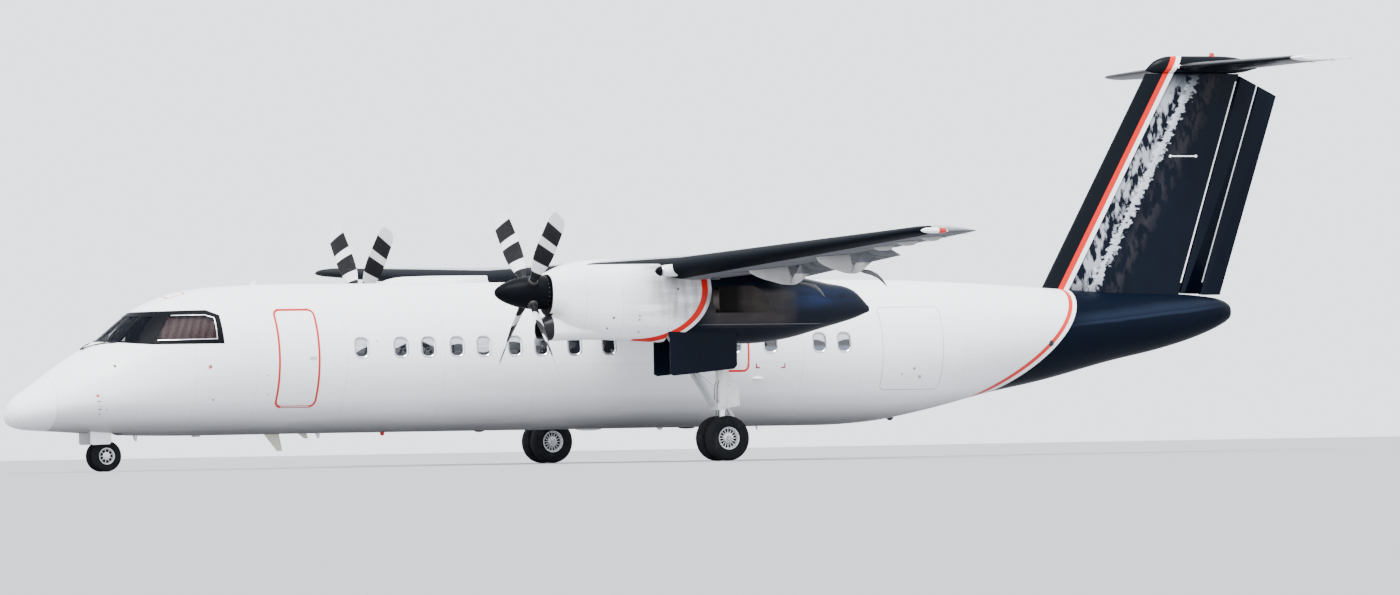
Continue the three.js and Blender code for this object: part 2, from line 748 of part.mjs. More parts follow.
// The exhaust leaves through a recess in the outboard side, deepest at its front
const EXHAUST = { from: 11850, to: 12950, bottom: 2640, top: 3120, fadeY: ENGINE_Y + 470, angle: 5 };
const exhaustRecess = turned(
  box([EXHAUST.from, EXHAUST.to], [EXHAUST.fadeY, EXHAUST.fadeY + 250], [EXHAUST.bottom, EXHAUST.top]),
  v3(at(EXHAUST.to), EXHAUST.fadeY, EXHAUST.bottom),
  v3(0, 0, 1),
  -EXHAUST.angle,
);
const nacelle = join(nacelleOuter, gearboxBoss)
  .subtract(grownWing)
  .subtract(
    join(
      intakeHole,
      exhaustRecess,
      aroundEngine([ENGINE.from - 20, BAY.from + 10], ENGINE.half + 20, [ENGINE.bottom, ENGINE.top + 10]),
      aroundEngine([BAY.from, BAY.to], BAY.half, [1500, BAY.top]),
    ),
  );
addPair("nacelle", nacelle, PAINT.navy);
addPair(
  "engine",
  aroundEngine([ENGINE.from, ENGINE.to], ENGINE.half, [ENGINE.bottom + GAP, ENGINE.top]),
  PAINT.metal,
);

// Propellers: blades on a hub, with the spinner over it
const PROPELLER_STATION = 8420;
const PROPELLER_RADIUS = 1980;
const BLADE_TURN = 42;
// Blade sections: radius, chord, thickness, twist in degrees
const BLADE = [
  [150, 130, 130, 60],
  [340, 130, 130, 60],
  [480, 190, 95, 56],
  [760, 310, 62, 48],
  [1150, 365, 42, 38],
  [1550, 365, 28, 31],
  [1840, 330, 18, 27],
  [PROPELLER_RADIUS, 220, 10, 25],
];

function bladeRing([radius, chord, thickness, twist], points = 8) {
  return Array.from({ length: points }, (_, i) => {
    const angle = (2 * Math.PI * i) / points;
    const along = (chord / 2) * Math.cos(angle);
    const off = (thickness / 2) * Math.sin(angle);
    const t = rad(twist);
    const x = along * Math.sin(t) + off * Math.cos(t);
    const y = off * Math.sin(t) - along * Math.cos(t);
    return v3(x, y, radius);
  });
}

const propellerCentre = v3(at(PROPELLER_STATION), ENGINE_Y, PROPELLER_Z);
const onPropellerAxis = (station) => v3(at(station), ENGINE_Y, PROPELLER_Z);
const blade = loft(BLADE.map((row) => bladeRing(row)));
const placeBlade = (solid, turn) => {
  const geometry = toGeometry(solid).applyMatrix4(new THREE.Matrix4().makeRotationX(rad(turn)));
  return toSolid(moved(geometry, ...propellerCentre.toArray()));
};
const bladeTurns = [0, 90, 180, 270].map((turn) => turn + BLADE_TURN);
const hub = bar(onPropellerAxis(HUB.to), onPropellerAxis(HUB.from), HUB.radius);
const propeller = join(hub, ...bladeTurns.map((turn) => placeBlade(blade, turn)));

// Spinner profile: station, radius
const SPINNER = [
  [7770, 0],
  [7790, 60],
  [7860, 118],
  [8000, 190],
  [8180, 250],
  [8380, 288],
  [8600, 305],
  [8735, 305],
];
const spinnerShape = SPINNER.map(([s, r]) => new THREE.Vector2(r, PROPELLER_STATION - s));
spinnerShape.push(new THREE.Vector2(0, PROPELLER_STATION - 8735));
const spinnerTurned = new THREE.LatheGeometry(spinnerShape.reverse(), 24);
spinnerTurned.applyMatrix4(new THREE.Matrix4().makeRotationZ(-Math.PI / 2));
const rootSleeve = toSolid(
  moved(new THREE.CylinderGeometry(70, 70, 400, 12).rotateX(Math.PI / 2), 0, 0, 330),
);
const hubSpace = bar(
  onPropellerAxis(8760),
  onPropellerAxis(HUB.from - GAP),
  HUB.radius + GAP,
);
const spinner = toSolid(moved(spinnerTurned, ...propellerCentre.toArray())).subtract(
  join(hubSpace, ...bladeTurns.map((turn) => placeBlade(rootSleeve, turn))),
);
// Both propellers turn the same way, so the right one is a moved copy and not a mirrored one
for (const [name, solid] of [
  ["propeller", propeller],
  ["spinner", spinner],
]) {
  add(name + "_left", solid, PAINT.black);
  add(name + "_right", toSolid(moved(toGeometry(solid), 0, -2 * ENGINE_Y, 0)), PAINT.black);
}

// Main landing gear, one leg with twin wheels under each nacelle
// The wheels stand on a flat of their many-sided outline, at this share of their radius
const WHEEL_SIDES = 24;
const FLAT = Math.cos(Math.PI / WHEEL_SIDES);
const MAIN = { tyre: 406.5, width: 240, rim: 205, y: 200, axle: 50, z: 406.5 * FLAT, leg: 95 };
const NOSE = { tyre: 280, width: 150, rim: 150, y: 125, axle: 34, z: 280 * FLAT, leg: 62 };
const AXLE_CLEARANCE = 0.7;

function tyreProfile({ tyre, width, rim }) {
  const half = width / 2;
  return [
    [rim + GAP, -half * 0.72],
    [rim + 0.35 * (tyre - rim), -half],
    [rim + 0.72 * (tyre - rim), -half * 0.96],
    [tyre, -half * 0.5],
    [tyre, half * 0.5],
    [rim + 0.72 * (tyre - rim), half * 0.96],
    [rim + 0.35 * (tyre - rim), half],
    [rim + GAP, half * 0.72],
    [rim + GAP, -half * 0.72],
  ];
}

function rimProfile({ width, rim, axle }) {
  const half = width / 2;
  const bore = axle + AXLE_CLEARANCE;
  return [
    [bore, -half * 0.45],
    [bore + 35, -half * 0.45],
    [rim * 0.8, -half * 0.5],
    [rim, -half * 0.72],
    [rim, half * 0.72],
    [rim * 0.72, half * 0.3],
    [bore, half * 0.45],
    [bore, -half * 0.45],
  ];
}

// A small wheel turned in one piece with its tyre
function wheelProfile(gear) {
  const [wheel, tyre] = [rimProfile(gear), tyreProfile(gear)];
  return [...wheel.slice(0, 4), ...tyre.slice(1, 7), ...wheel.slice(4)];
}

// The two tyres and the two wheels of a leg, the lower y first
function wheelSet(gear, station, y, height) {
  const places = [-1, 1].map((side) => [side, y + side * gear.y]);
  const turn = (profile, place) =>
    turnedAboutY(profile, WHEEL_SIDES, at(station), place, height);
  const tyres = places.map(([, place]) => turn(tyreProfile(gear), place));
  const wheels = places.map(([side, place]) => {
    const profile = rimProfile(gear);
    return turn(side > 0 ? profile : profile.map(([r, a]) => [r, -a]).reverse(), place);
  });
  return { tyres, wheels };
}

const legFoot = v3(at(MAIN_GEAR_STATION), ENGINE_Y, MAIN.z);
const atLeg = (station, dy, z) => v3(at(station), ENGINE_Y + dy, z);
const LEG_TOP_STATION = 12110;
const LEG_END_Z = 960;
const STRUT_FOOT = MAIN_GEAR_STATION - 110;
const STRUT_TOP = { station: 11060, z: 2480 };
const mainLeg = join(
  bar(atLeg(LEG_TOP_STATION, 0, BAY.top - 15), atLeg(MAIN_GEAR_STATION, 0, LEG_END_Z), MAIN.leg),
  bar(atLeg(MAIN_GEAR_STATION, 0, LEG_END_Z + 50), legFoot, 58),
  bar(atLeg(LEG_TOP_STATION, -BAY.half + GAP, 2780), atLeg(LEG_TOP_STATION, BAY.half - GAP, 2780), 60),
  bar(
    atLeg(MAIN_GEAR_STATION, -325, MAIN.z),
    atLeg(MAIN_GEAR_STATION, 325, MAIN.z),
    MAIN.axle,
    MAIN.axle,
    WHEEL_SIDES,
  ),
  aroundEngine([MAIN_GEAR_STATION - 85, MAIN_GEAR_STATION + 85], 70, [MAIN.z - 80, MAIN.z + 130]),
  aroundEngine([STRUT_FOOT, MAIN_GEAR_STATION + 60], 70, [LEG_END_Z - 60, LEG_END_Z + 90]),
  sidePrism(
    [
      [MAIN_GEAR_STATION, 1640],
      [MAIN_GEAR_STATION + 110, 1640],
      [MAIN_GEAR_STATION + 330, 1260],
      [MAIN_GEAR_STATION + 340, LEG_END_Z + 20],
      [MAIN_GEAR_STATION, LEG_END_Z - 40],
    ],
    ENGINE_Y - 40,
    ENGINE_Y + 40,
  ),
  sidePrism(
    [
      [MAIN_GEAR_STATION + 60, LEG_END_Z + 10],
      [MAIN_GEAR_STATION + 150, LEG_END_Z + 10],
      [MAIN_GEAR_STATION + 290, 720],
      [MAIN_GEAR_STATION + 80, 470],
      [MAIN_GEAR_STATION, 470],
      [MAIN_GEAR_STATION + 210, 720],
    ],
    ENGINE_Y - 30,
    ENGINE_Y + 30,
  ),
);
addPair("main_leg", mainLeg, PAINT.white);

const dragStrut = join(
  ...[-1, 1].map((side) =>
    bar(
      atLeg(STRUT_TOP.station, side * 210, STRUT_TOP.z),
      atLeg(STRUT_FOOT - 50, side * 40, LEG_END_Z + 20),
      32,
      32,
      14,
    ),
  ),
  aroundEngine([STRUT_FOOT - 90, STRUT_FOOT - GAP], 72, [LEG_END_Z - 50, LEG_END_Z + 70]),
  bar(
    atLeg(STRUT_TOP.station, -BAY.half + GAP, STRUT_TOP.z),
    atLeg(STRUT_TOP.station, BAY.half - GAP, STRUT_TOP.z),
    40,
    40,
    16,
  ),
);
addPair("drag_strut", dragStrut, PAINT.metal);

const mainSet = wheelSet(MAIN, MAIN_GEAR_STATION, ENGINE_Y, MAIN.z);
addPair("main_tyre_inner", mainSet.tyres[0], PAINT.rubber);
addPair("main_tyre_outer", mainSet.tyres[1], PAINT.rubber);
addPair("main_wheel_inner", mainSet.wheels[0], PAINT.metal);
addPair("main_wheel_outer", mainSet.wheels[1], PAINT.metal);

// Doors that hang open beside the main gear bay
const DOOR_THICKNESS = 30;
const doorCorners = [
  [10990, 2400],
  [10990, 1560],
  [11060, 1530],
  [12240, 1640],
  [12300, 1700],
  [12300, 2400],
];
for (const [name, side] of [
  ["outer_gear_door", 1],
  ["inner_gear_door", -1],
]) {
  const face = ENGINE_Y + side * (BAY.half - GAP);
  const plate = sidePrism(
    doorCorners,
    side > 0 ? face - DOOR_THICKNESS : face,
    side > 0 ? face : face + DOOR_THICKNESS,
  );
  addPair(name, plate, PAINT.navy);
}

// Nose landing gear: a fixed leg, and a steered piston with the axle
const STEER_Z = 700;
const TOW_FACE_STATION = 1750;
const atNose = (ahead, y, z) => v3(at(NOSE_GEAR_STATION) + ahead, y, z);
add(
  "nose_leg",
  join(
    bar(atNose(0, 0, STEER_Z), atNose(0, 0, NOSE_BAY.top - GAP), NOSE.leg + 14),
    bar(atNose(-40, 0, 800), atNose(-230, 0, NOSE_BAY.top - 45), 26, 26, 14),
    bar(atNose(0, -NOSE_BAY.half + GAP, 1040), atNose(0, NOSE_BAY.half - GAP, 1040), 34, 34, 16),
  ),
  PAINT.white,
);
add(
  "nose_steer",
  join(
    bar(atNose(0, 0, NOSE.z), atNose(0, 0, 560), 44),
    bar(atNose(0, 0, 540), atNose(0, 0, STEER_Z - GAP), NOSE.leg),
    bar(atNose(0, -185, NOSE.z), atNose(0, 185, NOSE.z), NOSE.axle, NOSE.axle, WHEEL_SIDES),
    box([TOW_FACE_STATION, NOSE_GEAR_STATION], [-32, 32], [NOSE.z - 32, NOSE.z + 32]),
  ),
  PAINT.white,
);
for (const [name, side] of [
  ["nose_wheel_right", -1],
  ["nose_wheel_left", 1],
]) {
  const profile = wheelProfile(NOSE);
  const wheel = side > 0 ? profile : profile.map(([r, a]) => [r, -a]).reverse();
  const place = [at(NOSE_GEAR_STATION), side * NOSE.y, NOSE.z];
  add(name, turnedAboutY(wheel, WHEEL_SIDES, ...place), PAINT.rubber);
}
addPair(
  "nose_gear_door",
  sidePrism(
    [
      [1490, 800],
      [1490, 500],
      [1530, 480],
      [1850, 490],
      [1880, 520],
      [1880, 800],
    ],
    NOSE_BAY.half - 20 - GAP,
    NOSE_BAY.half - GAP,
  ),
  PAINT.white,
);

// Tail: fin, two-piece rudder, tailplane and elevators
// Fin lines as [station at the foot, station at the top], between these heights
const FIN_FOOT_Z = 3035;
const FIN_LEAD = [20550, 22870];
const HINGE_LINE = [23450, 24840];
const SPLIT_LINE = [23930, 25330];
const TRAIL_LINE = [24400, 25810];
const lineAt = (line, z) =>
  line[0] + ((line[1] - line[0]) * (z - FIN_FOOT_Z)) / (FIN_TOP_Z - FIN_FOOT_Z);
const finThickness = (z) => 330 - (150 * (z - FIN_FOOT_Z)) / (FIN_TOP_Z - FIN_FOOT_Z);

function finRing(z) {
  const [lead, hinge] = [lineAt(FIN_LEAD, z), lineAt(HINGE_LINE, z)];
  const half = finThickness(z) / 2;
  const shape = [
    [0, 0],
    [0.015, 0.26],
    [0.06, 0.5],
    [0.18, 0.82],
    [0.4, 1],
    [0.7, 0.95],
    [1, 0.74],
  ];
  const side = (sign) => shape.map(([x, t]) => v3(at(lead + x * (hinge - lead)), sign * t * half, z));
  return [...side(1), ...side(-1).slice(1).reverse()];
}
const FIN_HINGES = [3600, 5000, 6400];
const RUDDER_HINGES = [3500, 4800, 6100];
const hingeBlocks = (line, heights, slack) =>
  join(
    ...heights.map((z) => {
      const start = lineAt(line, z);
      return box(
        [start - FITTING.seat - slack, start + FITTING.reach - slack],
        [-FITTING.half, FITTING.half],
        [z - 8, z + 8],
      );
    }),
  );
add(
  "fin",
  join(
    loft([2700, 4400, 5900, FIN_TOP_Z - GAP].map(finRing)).subtract(hull(20000, 24540, -GAP)),
    hingeBlocks(HINGE_LINE, FIN_HINGES, 2.6),
  ),
  PAINT.navy,
);
add(
  "tail_cone",
  hull(SPLITS.rear, SPLITS.end),
  PAINT.navy,
);

const rudderTopCut = sidePrism(
  [
    [24790, FIN_TOP_Z - 10],
    [26000, FIN_TOP_Z - 576],
    [26000, 8000],
    [24790, 8000],
  ],
  -400,
  400,
);

function rudderRing(z, front, back, share) {
  const [start, end] = [lineAt(front, z) + RUNNING_GAP, lineAt(back, z)];
  const thick = finThickness(z) * share[0];
  const edge = finThickness(z) * share[1];
  return surfaceRing(thick / 2, thick, end - start, edge).map(([a, t]) => v3(at(start + a), t, z));
}
const RUDDER_FOOT_Z = 2960;
const RUDDER_CLEARANCE = 38;
const rudder = (front, back, share) =>
  loft([RUDDER_FOOT_Z, FIN_TOP_Z].map((z) => rudderRing(z, front, back, share)))
    .subtract(rudderTopCut)
    .subtract(hull(22500, 24540, -RUDDER_CLEARANCE));
const rudderFore = rudder(HINGE_LINE, SPLIT_LINE, [0.7, 0.42]);
add("rudder_fore", join(rudderFore, hingeBlocks(SPLIT_LINE, RUDDER_HINGES, 2.6)), PAINT.navy);
add("rudder_trailing", rudder(SPLIT_LINE, TRAIL_LINE, [0.4, 0.05]), PAINT.navy);

// Tailplane sections: y, leading edge station, hinge station, trailing edge station, thickness
const TAIL_Z = 7268;
const TAILPLANE = [
  [60, 23450, 24560, 25200, 190],
  [3760, 23960, 24700, 25180, 120],
  [3960, 24060, 24700, 25170, 90],
];
const tailAt = (y) => sectionAt(TAILPLANE, y);

function tailRing(y, sign) {
  const [, lead, hinge, , thick] = tailAt(y);
  const shape = [
    [0, 0],
    [0.02, 0.28],
    [0.08, 0.55],
    [0.25, 0.88],
    [0.5, 1],
    [1, 0.7],
  ];
  const side = (s) =>
    shape.map(([x, t]) => v3(at(lead + x * (hinge - lead)), sign * y, TAIL_Z + (s * t * thick) / 2));
  return [...side(1), ...side(-1).slice(1).reverse()];
}
const tailHalves = [1, -1].map((sign) => loft([60, 3760, 3960].map((y) => tailRing(y, sign))));
const finTip = body(FIN_TIP, 22880, 25250, { points: 20 });
const ELEVATOR_HINGES = [900, 2300, 3500];
const elevatorFittings = ELEVATOR_HINGES.flatMap((y) =>
  [1, -1].map((side) => {
    const hinge = tailAt(y)[2];
    return box(
      [hinge - FITTING.seat, hinge + FITTING.reach],
      [side * y - FITTING.half, side * y + FITTING.half],
      [TAIL_Z - FITTING.half, TAIL_Z + FITTING.half],
    );
  }),
);
add("tailplane", join(...tailHalves, finTip, ...elevatorFittings), PAINT.navy);

function elevatorRing(y) {
  const [, , hinge, trail, thick] = tailAt(y);
  const start = hinge + RUNNING_GAP;
  return surfaceRing(thick * 0.34, thick * 0.68, trail - start, 8).map(([a, t]) =>
    v3(at(start + a), y, TAIL_Z + t),
  );
}
addPair("elevator", loft([170, 3760, 3960].map(elevatorRing)), PAINT.navy);

export default parts;
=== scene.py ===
import math

import bmesh
import bpy
import numpy as np
from mathutils import Matrix, Vector
from mathutils.bvhtree import BVHTree
from mathutils.interpolate import poly_3d_calc


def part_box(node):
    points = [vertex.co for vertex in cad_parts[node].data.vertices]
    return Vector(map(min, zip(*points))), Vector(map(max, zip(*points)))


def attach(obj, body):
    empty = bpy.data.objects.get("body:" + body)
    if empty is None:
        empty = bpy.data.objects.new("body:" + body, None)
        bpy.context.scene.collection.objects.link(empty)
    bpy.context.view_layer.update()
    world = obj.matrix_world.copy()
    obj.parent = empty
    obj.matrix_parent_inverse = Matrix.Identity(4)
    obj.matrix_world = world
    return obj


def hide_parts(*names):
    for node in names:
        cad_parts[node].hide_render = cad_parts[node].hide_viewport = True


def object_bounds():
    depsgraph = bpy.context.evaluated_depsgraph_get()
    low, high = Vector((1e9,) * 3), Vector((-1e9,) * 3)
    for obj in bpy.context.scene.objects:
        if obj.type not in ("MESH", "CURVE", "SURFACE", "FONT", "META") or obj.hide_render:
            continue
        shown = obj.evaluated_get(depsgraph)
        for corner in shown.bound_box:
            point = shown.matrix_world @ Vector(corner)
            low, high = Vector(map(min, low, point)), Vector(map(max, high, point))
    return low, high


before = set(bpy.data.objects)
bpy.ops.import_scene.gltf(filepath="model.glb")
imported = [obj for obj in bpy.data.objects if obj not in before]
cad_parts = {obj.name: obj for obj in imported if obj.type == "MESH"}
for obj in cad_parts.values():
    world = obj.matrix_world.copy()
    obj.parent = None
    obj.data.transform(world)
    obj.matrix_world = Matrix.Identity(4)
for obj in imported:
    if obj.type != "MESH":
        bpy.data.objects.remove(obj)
CAD_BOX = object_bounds()

# Places, in metres: x points to the nose, y to port, z up. A station is the distance behind the nose tip.
NOSE_X = CAD_BOX[1][0]
SPINNER_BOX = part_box("spinner_left")
ENGINE_Y = (SPINNER_BOX[0].y + SPINNER_BOX[1].y) / 2
PROPELLER_Z = (SPINNER_BOX[0].z + SPINNER_BOX[1].z) / 2
PROPELLER_STATION = 8.42
PROPELLER_RADIUS = 1.98
FUSELAGE_RADIUS = 1.345
BARREL_Z = 1.965
SKIN = 0.06
SPLITS = {"radome": 0.73, "forward": 6.0, "centre": 15.0, "rear": 20.6, "end": 24.54}
GAP = 0.0003
SIDES = (("left", 1), ("right", -1))


def at(station):
    return NOSE_X - station


# Camera and stage

def make_camera():
    """Floor level, ahead of abeam on the port side, with the slight tilt of the photo's frame."""
    distance, azimuth, image_width, focal = 150.0, math.radians(155.46), 1400, 8158
    eye_height, tilt = 0.3, math.radians(-1.0)
    target = Vector((-0.717, 0.0, 3.002))
    camera = bpy.data.cameras.new("camera")
    holder = bpy.data.objects.new("camera", camera)
    bpy.context.scene.collection.objects.link(holder)
    reach = Vector((math.sin(azimuth), -math.cos(azimuth), 0)) * distance
    holder.location = Vector((target.x + reach.x, target.y + reach.y, eye_height))
    holder.rotation_euler = (target - holder.location).to_track_quat("-Z", "Y").to_euler()
    holder.rotation_euler.rotate_axis("Z", tilt)
    camera.sensor_width = 36
    camera.lens = focal * camera.sensor_width / image_width
    camera.clip_end = 2000
    bpy.context.scene.camera = holder


def make_lights():
    """A soft bright sky with a wide key high above the port side and a broad fill ahead."""
    world = bpy.data.worlds.new("sky")
    bpy.context.scene.world = world
    world.use_nodes = True
    backdrop = world.node_tree.nodes["Background"]
    backdrop.inputs["Color"].default_value = (0.90, 0.93, 1.0, 1)
    backdrop.inputs["Strength"].default_value = 2.6
    for name, direction, energy, spread in (
        ("key", (-0.10, -0.45, -1.0), 7.0, 30),
        ("fill", (-0.9, -0.5, -0.5), 1.0, 40),
    ):
        sun = bpy.data.lights.new(name, "SUN")
        sun.energy, sun.angle = energy, math.radians(spread)
        holder = bpy.data.objects.new(name, sun)
        holder.rotation_euler = Vector(direction).to_track_quat("-Z", "Y").to_euler()
        bpy.context.scene.collection.objects.link(holder)


# Finishes

def operator(operation):
    """A method that makes a math node of a value, with a second value where there is one."""
    return lambda value, other=0.0: value.finish.math(operation, value, other)


class Value:
    """A number that varies over a surface, built up from math nodes."""

    def __init__(self, finish, socket):
        self.finish, self.socket = finish, socket

    __add__ = __radd__ = operator("ADD")
    __mul__ = __rmul__ = operator("MULTIPLY")
    __sub__, __truediv__ = operator("SUBTRACT"), operator("DIVIDE")
    __abs__, most = operator("ABSOLUTE"), operator("MAXIMUM")

    def __rsub__(self, other):
        return self.finish.math("SUBTRACT", other, self)

    def above(self, edge, soft=0.004):
        """1 where the value is over the edge, 0 where it is under, with a soft step."""
        return self.finish.math("ADD", (self - edge) / soft, 0.5, clamp=True)

    def within(self, low, high, soft=0.004):
        return self.above(low, soft) * (1 - self.above(high, soft))


class Finish:
    """A procedural material: one shader and one running colour that layers are painted over."""

    SOCKETS = {
        "metal": "Metallic",
        "coat": "Coat Weight",
        "coat_rough": "Coat Roughness",
        "sheen": "Sheen Weight",
        "alpha": "Alpha",
        "glow": "Emission Strength",
        "specular": "Specular IOR Level",
    }

    def __init__(self, name, colour, rough, **shader):
        self.material = bpy.data.materials.new(name)
        self.material.use_nodes = True
        self.tree = self.material.node_tree
        self.shader = self.tree.nodes["Principled BSDF"]
        self.colour = (*colour, 1)
        self.base_rough = rough
        self.shader.inputs["Base Color"].default_value = self.colour
        self.shader.inputs["Roughness"].default_value = rough
        for key, value in shader.items():
            self.shader.inputs[self.SOCKETS[key]].default_value = value
        if "glow" in shader:
            self.shader.inputs["Emission Color"].default_value = self.colour
        self.place = self.node("ShaderNodeTexCoord").outputs["Object"]
        split = self.node("ShaderNodeSeparateXYZ", Vector=self.place)
        self.x, self.y, self.z = [Value(self, split.outputs[k]) for k in "XYZ"]
        self.station = NOSE_X - self.x

    def node(self, kind, settings=(), **sockets):
        made = self.tree.nodes.new(kind)
        for key, value in settings:
            setattr(made, key, value)
        for key, value in sockets.items():
            self.plug(made.inputs[key.replace("_", " ")], value)
        return made

    def plug(self, socket, value):
        if isinstance(value, Value):
            value = value.socket
        if isinstance(value, bpy.types.NodeSocket):
            self.tree.links.new(value, socket)
        else:
            socket.default_value = value

    def math(self, operation, a, b=0.0, clamp=False):
        made = self.node("ShaderNodeMath", (("operation", operation), ("use_clamp", clamp)))
        self.plug(made.inputs[0], a)
        self.plug(made.inputs[1], b)
        return Value(self, made.outputs[0])

    def noise(self, scale, stretch=(1, 1, 1), detail=3.0, turn=(0, 0, 0)):
        placed = self.node("ShaderNodeMapping", Vector=self.place, Scale=stretch, Rotation=turn)
        made = self.node("ShaderNodeTexNoise", Vector=placed.outputs[0], Scale=scale, Detail=detail)
        return Value(self, made.outputs["Fac"])

    def length(self, across, up):
        return self.math("SQRT", across * across + up * up)

    def recolour(self, colour):
        self.colour = colour
        self.tree.links.new(colour, self.shader.inputs["Base Color"])

    def layer(self, mask, colour):
        """Paints a colour over what is there, where the mask is 1."""
        mix = self.node("ShaderNodeMix", (("data_type", "RGBA"), ("clamp_factor", True)))
        for socket, value in ((0, mask), (6, self.colour), (7, (*colour, 1))):
            self.plug(mix.inputs[socket], value)
        self.recolour(mix.outputs[2])

    def vary(self, noise, spread):
        """Makes the colour lighter and darker by a share that follows a noise."""
        made = self.node("ShaderNodeHueSaturation", Value=1 + (noise - 0.5) * spread)
        self.plug(made.inputs["Color"], self.colour)
        self.recolour(made.outputs[0])

    def roughen(self, mask, amount):
        self.plug(self.shader.inputs["Roughness"], self.base_rough + mask * amount)

    def bump(self, height, depth):
        made = self.node("ShaderNodeBump", Strength=0.5, Distance=depth, Height=height)
        self.tree.links.new(made.outputs[0], self.shader.inputs["Normal"])

    def spots(self, marks, where):
        """Paints round marks, each given by its station, height, size and colour."""
        for station, z, size, colour in marks:
            off = self.length(self.station - station, self.z - z)
            self.layer((1 - off.above(size / 2, 0.006)) * where, colour)

    def line(self, value, place, width, soft=0.004):
        """A thin line where a value passes a place."""
        return value.within(place - width / 2, place + width / 2, soft)

    def seams(self, value, places, share, width=0.006, soft=0.006):
        """Paints panel lines where a value passes the places."""
        for place in places:
            self.layer(self.line(value, place, width, soft) * share, SEAM)

    def outline(self, across, up, box, radius, width):
        """A band along the edge of a rounded rectangle, given as low and high corners."""
        (a0, b0), (a1, b1) = box
        over_a = (abs(across - (a0 + a1) / 2) - ((a1 - a0) / 2 - radius)).most(0)
        over_b = (abs(up - (b0 + b1) / 2) - ((b1 - b0) / 2 - radius)).most(0)
        return (self.length(over_a, over_b) - radius).within(-width / 2, width / 2, 0.005)


WHITE = (0.86, 0.87, 0.88)
OFF_WHITE = (0.72, 0.73, 0.74)
NAVY = (0.0018, 0.0038, 0.0090)
BOOT = (0.0026, 0.0040, 0.0062)
RED = (0.60, 0.016, 0.010)
SOOT = (0.030, 0.026, 0.025)
# Grey for dirt and wear, and also for painted shade low on the fuselage and radome
GRIME_AND_SHADE = (0.17, 0.168, 0.17)
# Dark grey for painted shade under the belly
BELLY_SHADE = (0.075, 0.075, 0.078)
SEAM = (0.20, 0.20, 0.21)
# Small round marks: station, height, size, colour
MARKS = [
    (1.40, 1.345, 0.056, RED),
    (1.40, 1.345, 0.024, (0.30, 0.28, 0.28)),
    (1.43, 1.25, 0.020, (0.12, 0.12, 0.12)),
    (1.46, 1.11, 0.024, (0.06, 0.06, 0.07)),
    (1.58, 1.10, 0.026, (0.30, 0.30, 0.31)),
    (1.46, 1.02, 0.024, (0.08, 0.08, 0.08)),
    (1.745, 1.866, 0.050, (0.03, 0.03, 0.035)),
    (3.40, 1.826, 0.090, (0.80, 0.36, 0.33)),
    (3.41, 1.826, 0.044, (0.06, 0.06, 0.06)),
    (3.51, 1.244, 0.045, (0.35, 0.35, 0.36)),
    (4.49, 1.66, 0.030, (0.35, 0.35, 0.36)),
    (4.53, 1.32, 0.030, (0.35, 0.35, 0.36)),
    (6.60, 2.25, 0.030, (0.25, 0.25, 0.26)),
    (17.05, 1.53, 0.040, (0.3, 0.3, 0.31)),
    (17.30, 1.63, 0.060, (0.3, 0.3, 0.31)),
    (17.44, 1.48, 0.060, (0.3, 0.3, 0.31)),
]
NACELLE_MARKS = [
    (9.87, 2.57, 0.050, (0.16, 0.16, 0.17)),
    (10.37, 2.60, 0.044, (0.34, 0.34, 0.35)),
    (10.37, 2.53, 0.044, (0.34, 0.34, 0.35)),
    (9.77, 2.385, 0.036, (0.10, 0.10, 0.10)),
    (10.39, 2.31, 0.040, (0.30, 0.30, 0.31)),
    (11.12, 3.07, 0.050, (0.14, 0.14, 0.15)),
]
# Outlines by their low and high corners: station and height, for the roof hatch station and y
DOOR_BOX = ((4.71, 1.10), (5.47, 2.83))
EXIT_BOX = ((13.34, 1.63), (13.90, 2.66))
BAGGAGE_BOX = ((16.63, 1.25), (17.90, 2.77))
ROOF_HATCH = ((2.98, -0.30), (3.32, 0.30))
DOOR_RADIUS, BAGGAGE_RADIUS = 0.11, 0.09


